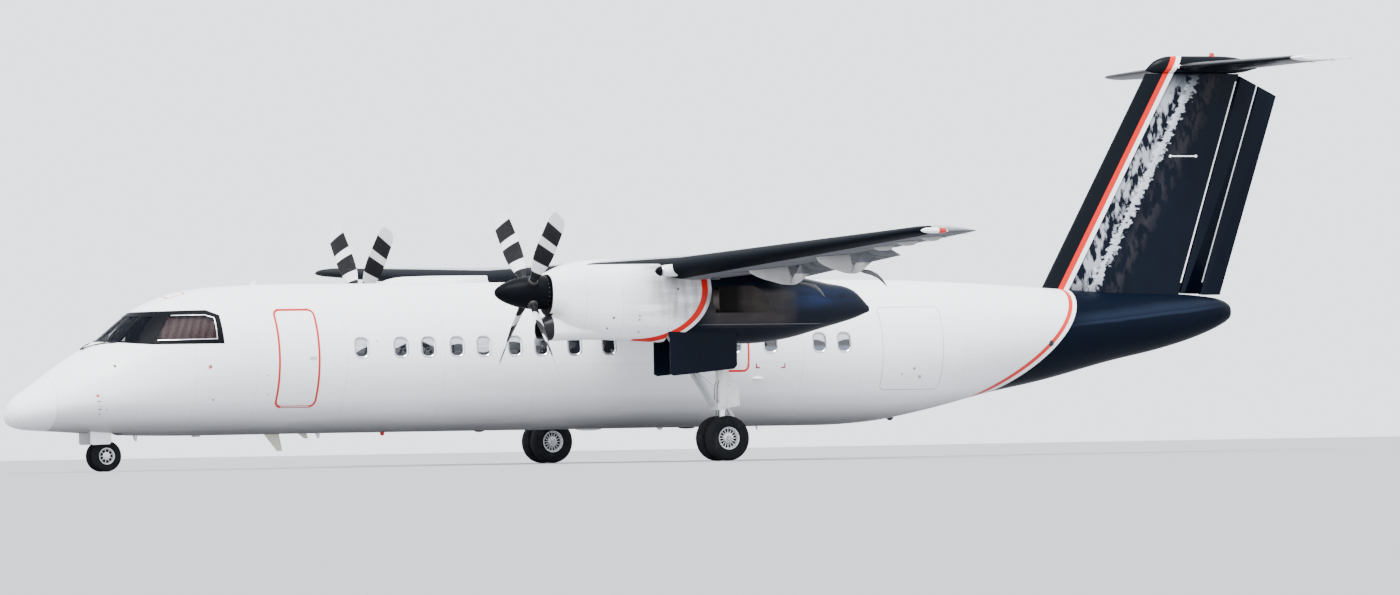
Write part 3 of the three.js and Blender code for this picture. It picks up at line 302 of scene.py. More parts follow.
def fuselage_paint():
    m = Finish("fuselage_paint", WHITE, 0.38, coat=0.06, coat_rough=0.12, specular=0.3)
    port = m.y.above(0.2, 0.1)
    m.vary(m.noise(0.9), 0.05)
    m.seams(m.station, (1.48, 2.12, 3.16, 4.30, 6.0, 7.9, 9.7, 15.0, 16.2, 18.4, 19.5, 20.6), 0.35)
    m.seams(m.station, [SPLITS["radome"]], 0.6, 0.010)
    for place, start, end in ((1.16, 0.9, 5.9), (1.62, 0.9, 1.9), (2.60, 6.2, 19.5), (1.78, 5.6, 19.0)):
        m.seams(m.z, [place], m.station.within(start, end, 0.05) * 0.28, soft=0.005)
    # Painted highlight: a thin bright line on the port side at z 1.86, under the wing
    sheen = m.line(m.z, 1.86, 0.022, 0.01) * m.station.within(8.2, 14.2, 0.6)
    m.layer(sheen * port * 0.5, (0.95, 0.95, 0.95))
    streaks = m.noise(1.6, (0.35, 1.6, 3.0), 5.0)
    grime = (1 - m.z.above(0.95, 0.5)) * streaks.above(0.42, 0.25)
    m.layer(grime * 0.30, GRIME_AND_SHADE)
    # Painted shade: darker towards the bottom of the fuselage, and darker still low under the belly ahead of
    # the tail
    m.layer((1 - m.z.above(0.96, 0.60)) * 0.70, GRIME_AND_SHADE)
    m.layer((1 - m.z.above(0.76, 0.30)) * (1 - m.station.above(17.5, 1.5)) * 0.55, BELLY_SHADE)
    m.layer(m.outline(m.station, m.z, DOOR_BOX, DOOR_RADIUS, 0.044) * port, RED)
    m.layer(m.outline(m.station, m.z, EXIT_BOX, 0.09, 0.044), RED)
    for low, high, open_side in ((14.05, 14.135, 0.026), (14.565, 14.65, -0.026)):
        corner = m.station.within(low, high) * m.z.within(1.67, 1.76)
        inner = m.station.within(low + open_side, high + open_side) * m.z.within(1.698, 1.80)
        m.layer(corner * (1 - inner) * port, (0.28, 0.012, 0.018))
    m.layer(m.outline(m.station, m.z, BAGGAGE_BOX, BAGGAGE_RADIUS, 0.012) * port * 0.7, SEAM)
    m.layer(m.outline(m.station, m.y, ROOF_HATCH, 0.05, 0.03) * m.z.above(2.9), RED)
    m.spots(MARKS, port)
    height = m.z - 2.09
    slope = 0.99 - height * 0.726
    curve = 20.32 + height * 0.99 - height * height * 0.363
    behind = (m.station - curve) / m.math("SQRT", 1 + slope * slope)
    dark = behind.above(0.115, 0.006)
    m.layer(dark, NAVY)
    # Painted highlight: a thin bluish streak and a softer band above it along the upper port side of the
    # navy tail cone
    rising = m.z - (m.station - 21.2) * 0.104 + (m.noise(0.8) - 0.5) * 0.12
    gloss = m.line(rising, 2.44, 0.02, 0.06) * 0.8 + m.line(rising, 2.54, 0.16, 0.12) * 0.35
    m.layer(gloss * m.station.within(20.9, 24.3, 0.9) * dark * port, (0.018, 0.027, 0.050))
    m.plug(m.shader.inputs["Specular IOR Level"], 0.3 - dark * 0.27)
    m.plug(m.shader.inputs["Coat Weight"], 0.06 - dark * 0.05)
    m.layer(behind.within(-0.045, 0.038, 0.006), RED)
    m.roughen(grime, 0.3)
    return m.material


def radome_paint():
    m = Finish("radome_paint", WHITE, 0.40, coat=0.06, coat_rough=0.15, specular=0.3)
    m.vary(m.noise(1.4, detail=4.0), 0.05)
    chips = (1 - m.station.above(0.22, 0.35)) * m.noise(26, detail=4.0).above(0.66, 0.05)
    m.layer(chips * 0.5, GRIME_AND_SHADE)
    # Painted shade: darker towards the bottom of the radome
    m.layer((1 - m.z.above(0.94, 0.50)) * 0.50, GRIME_AND_SHADE)
    return m.material


def wing_paint():
    m = Finish("wing_paint", (0.34, 0.355, 0.37), 0.55, specular=0.01)
    across = abs(m.y)
    outboard = (across - 4.4).most(0)
    flat_z = m.z - outboard * 0.0436
    # Painted shade: below the chord plane the underside is a darker grey than the top
    m.layer(1 - flat_z.above(3.43, 0.05), (0.125, 0.13, 0.14))
    m.vary(m.noise(2.2, (0.5, 2.6, 1.0), 5.0), 0.3)
    behind = m.station - (10.87 + outboard * 0.0477)
    m.seams(behind, [0.62], 0.5, 0.010, 0.008)
    m.seams(behind, [1.30], 0.4, 0.008, 0.008)
    m.seams(across, (5.4, 6.6, 7.9, 9.1, 10.4, 11.8), 0.35, 0.007)
    oil = m.noise(1.1, (0.4, 3.5, 1.0), 4.0).above(0.60, 0.16) * behind.above(0.5, 0.5)
    m.layer(oil * 0.38, SOOT)
    near_track = sum(m.line(across, y, 0.20) for y in TRACKS)
    m.layer(near_track * (1 - flat_z.above(3.20, 0.01)), (0.40, 0.40, 0.39))
    m.layer(1 - behind.above(0.33, 0.008), BOOT)
    m.layer(m.line(behind, 0.336, 0.008, 0.006) * 0.4, OFF_WHITE)
    m.roughen(oil, 0.25)
    return m.material


def nacelle_paint():
    m = Finish("nacelle_paint", WHITE, 0.34, coat=0.03, coat_rough=0.10, specular=0.10)
    m.vary(m.noise(1.2), 0.05)
    across = abs(m.y) - ENGINE_Y
    m.seams(m.station, COWL_SEAMS, 0.4, soft=0.005)
    m.seams(m.z, [2.62], m.station.within(9.1, 11.0, 0.01) * 0.4, soft=0.005)
    soiled = m.noise(2.4, (0.6, 1.0, 3.2), 5.0).above(0.50, 0.2) * m.station.within(10.3, 11.8, 0.7)
    m.layer(soiled * m.z.above(2.45, 0.4) * 0.35, GRIME_AND_SHADE)
    runs = m.noise(2.2, (3.2, 1.0, 0.5), 6.0, (0, 0.25, 0)).above(0.48, 0.16)
    runs = runs * m.station.within(10.75, 11.9, 0.5) * m.z.within(2.55, 3.35, 0.3)
    m.layer(runs * across.above(0, 0.2) * 0.45, (0.20, 0.185, 0.18))
    outer = across.above(0.1, 0.2)
    smear = m.station.within(10.45, 11.3, 0.4) * m.z.above(3.16, 0.12) * outer
    m.layer(smear * m.noise(3.0, (0.6, 1, 3.0), 5.0) * 0.8, (0.10, 0.10, 0.105))
    breath = m.station.within(8.7, 9.0, 0.25) * m.z.within(2.55, 2.85, 0.2) * outer
    m.layer(breath * m.noise(5.0, (0.6, 1, 2.0), 5.0) * 0.7, GRIME_AND_SHADE)
    m.spots(NACELLE_MARKS, across.above(0.2, 0.05))
    sweep = m.length((m.station - 10.4).most(0) / 1.25, (3.1 - m.z).most(0) / 0.95)
    past = m.station.above(10.34, 0.03)
    m.layer(sweep.above(1.10, 0.008) * past, NAVY)
    # Painted highlight: a mottled bluish sheen high on the outer side of each nacelle's aft navy part
    gloss = m.noise(1.6, (0.7, 1.0, 2.6), 4.0).above(0.44, 0.2) * m.z.within(2.74, 3.02, 0.2)
    gloss = gloss * m.station.within(13.4, 14.6, 0.6) * across.above(0, 0.2)
    m.layer(gloss * 0.8, (0.006, 0.014, 0.045))
    m.layer(sweep.within(0.95, 1.045, 0.008) * past, RED)
    scorched = m.station.within(11.72, 13.35, 0.35) * m.z.within(2.42, 3.02, 0.12)
    scorched = scorched * across.above(0.1, 0.1)
    m.layer(scorched * (m.noise(3.0, (0.5, 1, 2.4), 5.0) * 0.9 + 0.25), (0.046, 0.040, 0.039))
    edge = m.line(m.z, 2.43, 0.010, 0.006) * m.station.within(11.6, 14.0, 0.2)
    m.layer(edge * 0.55, (0.20, 0.21, 0.23))
    lip = (1 - m.station.above(8.80, 0.006)) * (1 - m.z.above(2.665, 0.01))
    m.layer(lip, (0.012, 0.012, 0.014))
    keel = (1 - m.z.above(2.122, 0.006)) * m.station.within(10.98, 12.34, 0.02)
    m.layer(keel * 0.8, (0.50, 0.51, 0.53))
    m.roughen(scorched, 0.35)
    return m.material


# Lines on the fin, each by its stations at the fin's foot and top
FIN_FOOT_Z, FIN_TOP_Z = 3.035, 7.15
FIN_LEAD = (20.55, 22.87)
HINGE_LINE = (23.45, 24.84)
SPLIT_LINE = (23.93, 25.33)
BANDS = ((-0.065, 0.055, RED), (0.055, 0.155, WHITE))


def line_at(line, z):
    return line[0] + (line[1] - line[0]) * (z - FIN_FOOT_Z) / (FIN_TOP_Z - FIN_FOOT_Z)


def behind_bands(m):
    """The distance behind the edge where the fin's coloured bands start."""
    return m.station - (20.97 + (m.z - 3.125) * 0.5727)


def tail_paint():
    m = Finish("tail_paint", NAVY, 0.24, coat=0.03, coat_rough=0.05, specular=0.06)
    m.vary(m.noise(2.6, (1.6, 1.0, 0.8), 6.0, (0, 0.52, 0)), 0.6)
    behind = behind_bands(m)
    # Painted reflection: mottled bright patches of sky behind the bands on the fin, a ragged bright strip at
    # their rear edge, and fainter lighter patches further aft
    patches = m.noise(5.2, (1.5, 1.0, 0.7), 9.0, (0, 0.52, 0))
    ragged = behind + (m.noise(8.0, (1.0, 1.0, 1.6), 6.0) - 0.5) * 0.5
    bright = patches.above(0.50, 0.10) * behind.within(0.16, 0.60, 0.12) * 0.72
    bright = bright + ragged.within(0.57, 0.74, 0.05)
    m.layer(bright * m.z.within(3.1, 6.9, 0.5) * 0.85, (0.52, 0.55, 0.60))
    dim = patches.above(0.53, 0.10) * behind.within(0.9, 1.25, 0.3)
    m.layer(dim * 0.30, (0.055, 0.048, 0.050))
    m.layer(1 - behind.above(0, 0.006), BOOT)
    for low, high, colour in BANDS:
        m.layer(behind.within(low, high, 0.006), colour)
    dashes = m.noise(1.3, (0.01, 0.01, 1), 0.0).above(0.36, 0.02) * 0.7 + 0.3
    for line in (HINGE_LINE, SPLIT_LINE):
        edge = (m.station - line_at(line, m.z)).within(-0.034, -0.006, 0.005)
        m.layer(edge * m.z.within(3.2, 7.0, 0.02) * dashes, WHITE)
    return m.material


def tailplane_paint():
    m = Finish("tailplane_paint", BOOT, 0.34, coat=0.01, coat_rough=0.1, specular=0.06)
    across = abs(m.y)
    m.vary(m.noise(1.8, (1, 2, 1), 5.0), 0.4)
    m.layer(across.above(3.74, 0.006), WHITE)
    m.layer(m.line(across, 3.72, 0.012) * 0.5, OFF_WHITE)
    behind = behind_bands(m)
    for low, high, colour in BANDS:
        m.layer(behind.within(low, high, 0.006) * (1 - across.above(0.24, 0.01)), colour)
    return m.material


def blade_paint():
    """Bands by distance from the propeller's axis: black root, white, black, white, dark, white tip."""
    m = Finish("blade_paint", (0.006, 0.006, 0.007), 0.45, specular=0.12)
    share = m.length(abs(m.y) - ENGINE_Y, m.z - PROPELLER_Z) / PROPELLER_RADIUS
    inner, outer = share.within(0.27, 0.385, 0.008), share.within(0.575, 0.665, 0.008)
    m.layer(inner + outer + share.above(0.845, 0.008), OFF_WHITE)
    wear = m.noise(14, detail=5.0).above(0.60, 0.08)
    m.layer(wear * 0.035, (0.16, 0.16, 0.17))
    m.roughen(wear, 0.2)
    return m.material


def speckled(name, colour, rough, scale, spread, bump=0.0, **shader):
    """A finish whose one colour is broken up by a fine noise."""
    m = Finish(name, colour, rough, **shader)
    grain = m.noise(scale, detail=4.0)
    m.vary(grain, spread)
    m.roughen(grain - 0.5, 0.2)
    if bump:
        m.bump(m.noise(scale * 3), bump)
    return m.material


def pane_glass():
    """Cabin panes: a drawn blind behind the upper part of some, dark cabin behind the rest."""
    m = Finish("cabin_pane", (0.010, 0.012, 0.016), 0.06, coat=0.8, coat_rough=0.02)
    drawn = m.noise(1.55, (1.0, 0.0, 0.0), 0.0) * 0.5 + 1.90
    shade = m.station.above(9.6, 0.4) * (1 - m.station.above(13.0, 0.4))
    blind = m.z.above(drawn, 0.01) * (1 - shade)
    m.layer(blind, (0.42, 0.44, 0.47))
    m.layer(blind * m.line(m.z, 2.14, 0.01), (0.7, 0.72, 0.74))
    # Painted sky light: a bluish tone in the lower part of the rear panes
    sky = m.station.above(13.0, 0.3) * (1 - m.z.above(2.06, 0.06))
    m.layer(sky * 0.5, (0.22, 0.24, 0.32))
    return m.material


def clear_glass():
    m = Finish("flight_deck_glass", (0.004, 0.006, 0.010), 0.25, alpha=0.36, specular=0.04)
    m.vary(m.noise(3.0), 0.3)
    return m.material


def tyre_rubber():
    m = Finish("tyre_rubber", (0.0070, 0.0078, 0.0095), 0.85, specular=0.12)
    dust = m.noise(9.0, detail=5.0)
    m.vary(dust, 0.5)
    m.layer(dust.above(0.62, 0.1) * 0.12, (0.06, 0.058, 0.055))
    m.bump(m.noise(160, detail=2.0), 0.0006)
    return m.material


def curtain_cloth():
    m = Finish("curtain_cloth", (0.10, 0.045, 0.042), 0.85, sheen=0.1)
    folds = m.math("SINE", m.x * 46 + m.z * 22 + m.noise(3.0) * 4)
    m.layer((folds * 0.5 + 0.5) * 0.6, (0.27, 0.16, 0.15))
    m.bump(folds, 0.01)
    return m.material


def sooty_lining():
    """Inside the nacelle: black at the exhaust's mouth, scorched metal behind it."""
    m = Finish("sooty_lining", (0.007, 0.006, 0.0055), 0.8, specular=0.1)
    smoke = m.noise(4.0, (0.6, 1, 2.4), 5.0)
    m.layer(m.station.above(12.36, 0.16) * (smoke * 0.8 + 0.4), (0.036, 0.031, 0.029))
    return m.material


# Plain finishes: name, colour, roughness, size of the noise, spread of the colour, shader settings
SPECKLED = {
    "navy": ("navy_paint", NAVY, 0.3, 6.0, 0.35, {"coat": 0.02, "coat_rough": 0.08, "specular": 0.06}),
    "white": ("white_paint", WHITE, 0.3, 12.0, 0.08, {"coat": 0.2}),
    "gear": ("gear_paint", (0.74, 0.74, 0.72), 0.36, 18.0, 0.14, {}),
    "strut": ("strut_paint", (0.40, 0.41, 0.42), 0.36, 20.0, 0.2, {"metal": 0.4}),
    "chrome": ("chrome", (0.82, 0.83, 0.84), 0.08, 12.0, 0.05, {"metal": 1.0}),
    "alloy": ("wheel_alloy", (0.70, 0.71, 0.72), 0.34, 40.0, 0.14, {"metal": 0.3}),
    "steel": ("dark_steel", (0.11, 0.11, 0.115), 0.42, 40.0, 0.3, {"metal": 0.8}),
    "brake": ("brake_steel", (0.010, 0.0095, 0.009), 0.7, 50.0, 0.4, {"specular": 0.1}),
    "hose": ("hose_rubber", (0.02, 0.02, 0.022), 0.6, 60.0, 0.3, {}),
    "black": ("black_gloss", (0.0022, 0.0028, 0.0042), 0.42, 9.0, 0.4, {"specular": 0.035}),
    "matt": ("matt_black", (0.012, 0.012, 0.013), 0.62, 30.0, 0.4, {}),
    "lining": ("bay_lining", (0.055, 0.055, 0.055), 0.6, 8.0, 0.4, {}),
    "cabin": ("cabin_lining", (0.16, 0.165, 0.17), 0.7, 14.0, 0.2, {}),
    "burnt": ("burnt_metal", (0.060, 0.050, 0.045), 0.5, 14.0, 0.5, {"metal": 0.7}),
    "cloth": ("seat_cloth", (0.035, 0.042, 0.060), 0.9, 90.0, 0.5, {"bump": 0.001, "sheen": 0.4}),
    "plastic": ("panel_plastic", (0.030, 0.031, 0.034), 0.55, 50.0, 0.3, {}),
    "cream": ("antenna_cream", (0.62, 0.60, 0.50), 0.42, 20.0, 0.12, {}),
    "silver": ("silver_trim", (0.62, 0.63, 0.65), 0.22, 30.0, 0.1, {"metal": 0.8}),
    "red_light": ("red_lens", (0.42, 0.006, 0.005), 0.12, 20.0, 0.2, {"glow": 0.25}),
    "green_light": ("green_lens", (0.02, 0.45, 0.10), 0.12, 20.0, 0.2, {"glow": 0.4}),
    "clear_light": ("clear_lens", (0.95, 0.93, 0.88), 0.08, 20.0, 0.05, {"glow": 2.2}),
    "fairing": ("fairing_paint", (0.40, 0.40, 0.39), 0.5, 5.0, 0.25, {"specular": 0.05}),
    "floor": ("studio_floor", (0.30, 0.305, 0.32), 0.9, 0.8, 0.03, {"specular": 0.05}),
}


def make_finishes():
    special = {
        "fuselage": fuselage_paint(),
        "radome": radome_paint(),
        "wing": wing_paint(),
        "nacelle": nacelle_paint(),
        "tail": tail_paint(),
        "tailplane": tailplane_paint(),
        "blade": blade_paint(),
        "pane": pane_glass(),
        "glass": clear_glass(),
        "tyre": tyre_rubber(),
        "curtain": curtain_cloth(),
        "soot": sooty_lining(),
    }
    return special | {key: speckled(*row, **shader) for key, (*row, shader) in SPECKLED.items()}


# Mesh building

def grid(rows, columns, around=True, closed=False):
    """Faces between rows of points; around joins a row's ends, closed the last row to the first."""
    return [
        (
            r * columns + i,
            r * columns + (i + 1) % columns,
            (r + 1) % rows * columns + (i + 1) % columns,
            (r + 1) % rows * columns + i,
        )
        for r in range(rows if closed else rows - 1)
        for i in range(columns if around else columns - 1)
    ]


def circle(points):
    """The cosine and sine of evenly spaced turns."""
    return [(math.cos(t), math.sin(t)) for t in np.linspace(0, math.tau, points, endpoint=False)]


def oval(station, y, z, wide, tall, side=1, points=20):
    """A ring across the aircraft, on its port side or mirrored to starboard."""
    return [Vector((at(station), side * (y + wide * c), z + tall * s)) for c, s in circle(points)]


class Form:
    """A mesh being built, in the frame's metres."""

    def __init__(self):
        self.points, self.faces = [], []

    def add(self, points, faces):
        start = len(self.points)
        self.points += [Vector(p) for p in points]
        self.faces += [tuple(start + i for i in face) for face in faces]
        return self

    def loft(self, rings, tip=0.0):
        """A closed skin through rings of equal length; tip moves the first cap's middle along x."""
        n = len(rings[0])
        points = [p for ring in rings for p in ring]
        faces = grid(len(rings), n)
        for r, out in ((0, tip), (len(rings) - 1, 0.0)):
            middle = sum((Vector(p) for p in rings[r]), Vector()) / n + Vector((out, 0, 0))
            points.append(middle)
            fan = [(r * n + i, r * n + (i + 1) % n, len(points) - 1) for i in range(n)]
            faces += [face[::-1] for face in fan] if r == 0 else fan
        return self.add(points, faces)

    def turned(self, profile, centre, axis, steps):
        """A solid of revolution; the profile gives [radius, along] pairs and is closed."""
        axis = Vector(axis).normalized()
        side = axis.orthogonal().normalized()
        up = axis.cross(side)
        centre = Vector(centre)
        points = []
        for k in range(steps):
            turn = math.tau * k / steps
            out = side * math.cos(turn) + up * math.sin(turn)
            points += [centre + out * r + axis * a for r, a in profile]
        return self.add(points, grid(steps, len(profile), closed=True))

    def tube(self, path, radius, sides=12, end=None):
        """A round bar along a path of points, tapering to the end radius."""
        path = [Vector(p) for p in path]
        end = radius if end is None else end
        rings = []
        side = None
        for i, place in enumerate(path):
            along = (path[min(i + 1, len(path) - 1)] - path[max(i - 1, 0)]).normalized()
            side = (along.orthogonal() if side is None else side - along * side.dot(along)).normalized()
            up = along.cross(side)
            r = radius + (end - radius) * i / (len(path) - 1)
            turns = [math.tau * k / sides for k in range(sides)]
            rings.append([place + (side * math.cos(t) + up * math.sin(t)) * r for t in turns])
        return self.loft(rings)

    def prism(self, corners, low, high, plane="side"):
        """Corners as [station, z] from the side, [y, z] from ahead or [station, y] from above."""
        places = {
            "side": lambda c, d: (at(c[0]), d, c[1]),
            "front": lambda c, d: (at(d), c[0], c[1]),
            "top": lambda c, d: (at(c[0]), c[1], d),
        }[plane]
        n = len(corners)
        points = [places(c, d) for d in (low, high) for c in corners]
        return self.add(points, [*grid(2, n), tuple(range(n))[::-1], tuple(range(n, 2 * n))])

    def block(self, stations, ys, zs):
        (s0, s1), (z0, z1) = stations, zs
        return self.prism([(s0, z0), (s1, z0), (s1, z1), (s0, z1)], *ys)

    def to_side(self, side):
        """The form itself to port, or its mirror image to starboard."""
        if side < 0:
            self.points = [Vector((p.x, -p.y, p.z)) for p in self.points]
            self.faces = [face[::-1] for face in self.faces]
        return self

    def mesh(self, name="mesh"):
        made = bpy.data.meshes.new(name)
        made.from_pydata([tuple(p) for p in self.points], [], self.faces)
        work = bmesh.new()
        work.from_mesh(made)
        bmesh.ops.remove_doubles(work, verts=work.verts, dist=1e-5)
        bmesh.ops.recalc_face_normals(work, faces=work.faces)
        work.to_mesh(made)
        work.free()
        return made


def loose(made):
    """A scene object for a form or mesh that a cut needs for a moment."""
    mesh = made.mesh() if isinstance(made, Form) else made.copy()
    thing = bpy.data.objects.new("loose", mesh)
    bpy.context.scene.collection.objects.link(thing)
    return thing


def evaluated(thing):
    """A plain mesh of an object as its modifiers leave it."""
    graph = bpy.context.evaluated_depsgraph_get()
    return bpy.data.meshes.new_from_object(thing.evaluated_get(graph))


def carved(made, cuts=(), keep=(), join=()):
    """The form after solids are joined to it, cut out of it, or only what it shares is kept."""
    base = loose(made)
    tools = []
    for operation, others in (("UNION", join), ("DIFFERENCE", cuts), ("INTERSECT", keep)):
        for other in others:
            tool = loose(other)
            step = base.modifiers.new("step", "BOOLEAN")
            step.operation, step.object, step.solver = operation, tool, "MANIFOLD"
            tools.append(tool)
    result = evaluated(base)
    for thing in [base, *tools]:
        bpy.data.objects.remove(thing)
    return result


class SmoothSkin:
    """Reads places and smooth normals on a lofted skin, without its end caps."""

    def __init__(self, form):
        sides = Form()
        sides.add(form.points, [f for f in form.faces if len(f) == 4])
        mesh = sides.mesh()
        self.corners = [v.co.copy() for v in mesh.vertices]
        self.normals = [v.normal.copy() for v in mesh.vertices]
        self.faces = [tuple(p.vertices) for p in mesh.polygons]
        self.tree = BVHTree.FromPolygons(self.corners, self.faces)
        bpy.data.meshes.remove(mesh)

    def near(self, place):
        """The distance to the skin and the skin's smooth normal there."""
        found, _, index, off = self.tree.find_nearest(place)
        face = self.faces[index]
        shares = poly_3d_calc([self.corners[i] for i in face], found)
        return off, sum((self.normals[i] * w for i, w in zip(face, shares)), Vector()).normalized()


def follow(mesh, skins, inner):
    """Gives what lies on smooth skins the skins' own normals, and the rest the inner finish."""
    reach, turned_off = 0.006, 0.55
    readers = [SmoothSkin(form) for form in skins]
    custom = [(0.0, 0.0, 0.0)] * len(mesh.loops)
    known = {}
    for face in mesh.polygons:
        number = min(range(len(readers)), key=lambda k: readers[k].near(face.center)[0])
        off, _ = readers[number].near(face.center)
        own = []
        for index in face.vertices:
            if (number, index) not in known:
                known[number, index] = readers[number].near(mesh.vertices[index].co)
            own.append(known[number, index])
        if off < reach and all(d < reach and n.dot(face.normal) > turned_off for d, n in own):
            for loop, (_, n) in zip(face.loop_indices, own):
                custom[loop] = tuple(n)
        elif inner is not None:
            face.material_index = inner
    mesh.normals_split_custom_set(custom)


def piece(
    name, made, finishes, body="airframe", replaces=(), bevel=0.0, angle=35, skin=None, inner=None
):
    """Names, finishes and seats a form or mesh on its body."""
    mesh = made.mesh(name) if isinstance(made, Form) else made
    mesh.name = name
    thing = bpy.data.objects.new(name, mesh)
    bpy.context.scene.collection.objects.link(thing)
    mesh.materials.clear()
    for finish in finishes if isinstance(finishes, list) else [finishes]:
        mesh.materials.append(FINISH[finish])
    mesh.shade_smooth()
    mesh.set_sharp_from_angle(angle=math.radians(angle))
    if skin:
        follow(mesh, skin if isinstance(skin, list) else [skin], inner)
    if bevel:
        edge = thing.modifiers.new("edge", "BEVEL")
        edge.width, edge.segments, edge.limit_method = bevel, 2, "ANGLE"
        edge.angle_limit, edge.harden_normals = math.radians(40), True
    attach(thing, body)
    if replaces:
        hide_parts(*replaces)
    return thing


def dressed(node, finish, body="airframe", angle=38, bevel=0.0):
    """A finer copy of a solid: its doubles merged, its flat faces whole, its curves smooth."""
    work = bmesh.new()
    work.from_mesh(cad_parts[node].data)
    bmesh.ops.remove_doubles(work, verts=work.verts, dist=1e-5)
    flat = math.radians(0.6)
    bmesh.ops.dissolve_limit(work, angle_limit=flat, verts=work.verts, edges=work.edges)
    mesh = bpy.data.meshes.new(node)
    work.to_mesh(mesh)
    work.free()
    return piece(node + "_skin", mesh, finish, body, [node], bevel, angle)


# Pieces repeated by Geometry Nodes

def wire(tree, nodes, links):
    """Links nodes; each link gives a node, its output, the next node and its input."""
    for source, output, target, socket in links:
        tree.links.new(nodes[source].outputs[output], nodes[target].inputs[socket])


def unit_tree(name, number, kinds):
    """A Geometry Nodes tree that sets units down, makes them real and paints them."""
    tree = bpy.data.node_groups.new(name, "GeometryNodeTree")
    inputs = {"Geometry": "Geometry", "Unit": "Object", number: "Float", "Finish": "Material"}
    for label, kind in inputs.items():
        tree.interface.new_socket(label, in_out="INPUT", socket_type="NodeSocket" + kind)
    tree.interface.new_socket("Geometry", in_out="OUTPUT", socket_type="NodeSocketGeometry")
    kinds = kinds | {
        "start": "NodeGroupInput",
        "unit": "GeometryNodeObjectInfo",
        "put": "GeometryNodeInstanceOnPoints",
        "real": "GeometryNodeRealizeInstances",
        "paint": "GeometryNodeSetMaterial",
        "end": "NodeGroupOutput",
    }
    nodes = {key: tree.nodes.new(kind) for key, kind in kinds.items()}
    wire(tree, nodes, [
        ("start", "Unit", "unit", "Object"),
        ("unit", "Geometry", "put", "Instance"),
        ("put", "Instances", "real", "Geometry"),
        ("real", "Geometry", "paint", "Geometry"),
        ("start", "Finish", "paint", "Material"),
        ("paint", "Geometry", "end", "Geometry"),
    ])
    return tree, nodes


def place_tree():
    """Puts a unit on each point, turned by the angles that the point carries."""
    tree, nodes = unit_tree("place_on_points", "Size", {
        "points": "GeometryNodeMeshToPoints",
        "angles": "GeometryNodeInputNamedAttribute",
        "turn": "FunctionNodeEulerToRotation",
    })
    nodes["angles"].data_type = "FLOAT_VECTOR"
    nodes["angles"].inputs["Name"].default_value = "turn"
    wire(tree, nodes, [
        ("start", "Geometry", "points", "Mesh"),
        ("angles", "Attribute", "turn", "Euler"),
        ("points", "Points", "put", "Points"),
        ("turn", "Rotation", "put", "Rotation"),
        ("start", "Size", "put", "Scale"),
    ])
    return tree


def row_tree():
    """Walks along paths and sets a unit down at each spacing."""
    tree, nodes = unit_tree("row_along_paths", "Spacing", {
        "curve": "GeometryNodeMeshToCurve",
        "steps": "GeometryNodeResampleCurve",
    })
    nodes["steps"].mode = "LENGTH"
    wire(tree, nodes, [
        ("start", "Geometry", "curve", "Mesh"),
        ("curve", "Curve", "steps", "Curve"),
        ("start", "Spacing", "steps", "Length"),
        ("steps", "Curve", "put", "Points"),
    ])
    return tree


def grown(name, tree, base, unit, number, finish, body="airframe"):
    """Runs a tree on a base mesh, turns the result into a plain mesh and seats it."""
    holder = bpy.data.objects.new(name + "_base", base)
    seed = loose(unit)
    bpy.context.scene.collection.objects.link(holder)
    grow = holder.modifiers.new("grow", "NODES")
    grow.node_group = tree
    values = {"Unit": seed, "Finish": FINISH[finish], "Size": number, "Spacing": number}
    for item in tree.interface.items_tree:
        if item.in_out == "INPUT" and item.name in values:
            grow[item.identifier] = values[item.name]
    mesh = evaluated(holder)
    holder.modifiers.clear()
    for thing in (holder, seed):
        bpy.data.objects.remove(thing)
    return piece(name, mesh, finish, body)


def facing(direction):
    """The angles that turn a unit's z towards a direction."""
    return Vector(direction).to_track_quat("Z", "Y").to_euler()


def points_mesh(places, turns):
    """A mesh of single points, each with the angles that turn its unit."""
    mesh = bpy.data.meshes.new("points")
    mesh.from_pydata([tuple(p) for p in places], [], [])
    turn = mesh.attributes.new("turn", "FLOAT_VECTOR", "POINT")
    turn.data.foreach_set("vector", [c for angles in turns for c in angles])
    return mesh


def paths_mesh(paths):
    """A mesh of open edge chains, one for each path."""
    points, edges = [], []
    for path in paths:
        edges += [(len(points) + i, len(points) + i + 1) for i in range(len(path) - 1)]
        points += [tuple(p) for p in path]
    mesh = bpy.data.meshes.new("paths")
    mesh.from_pydata(points, edges, [])
    return mesh


def stud(radius, height, sides=6):
    """A low domed fastener head."""
    profile = [
        (0.0001, -height), (radius, -height), (radius, 0), (radius * 0.6, height * 0.8), (0.0001, height),
    ]
    return Form().turned(profile, (0, 0, 0), (0, 0, 1), sides)


# Sections of bodies: station, bottom, widest height, top, half width

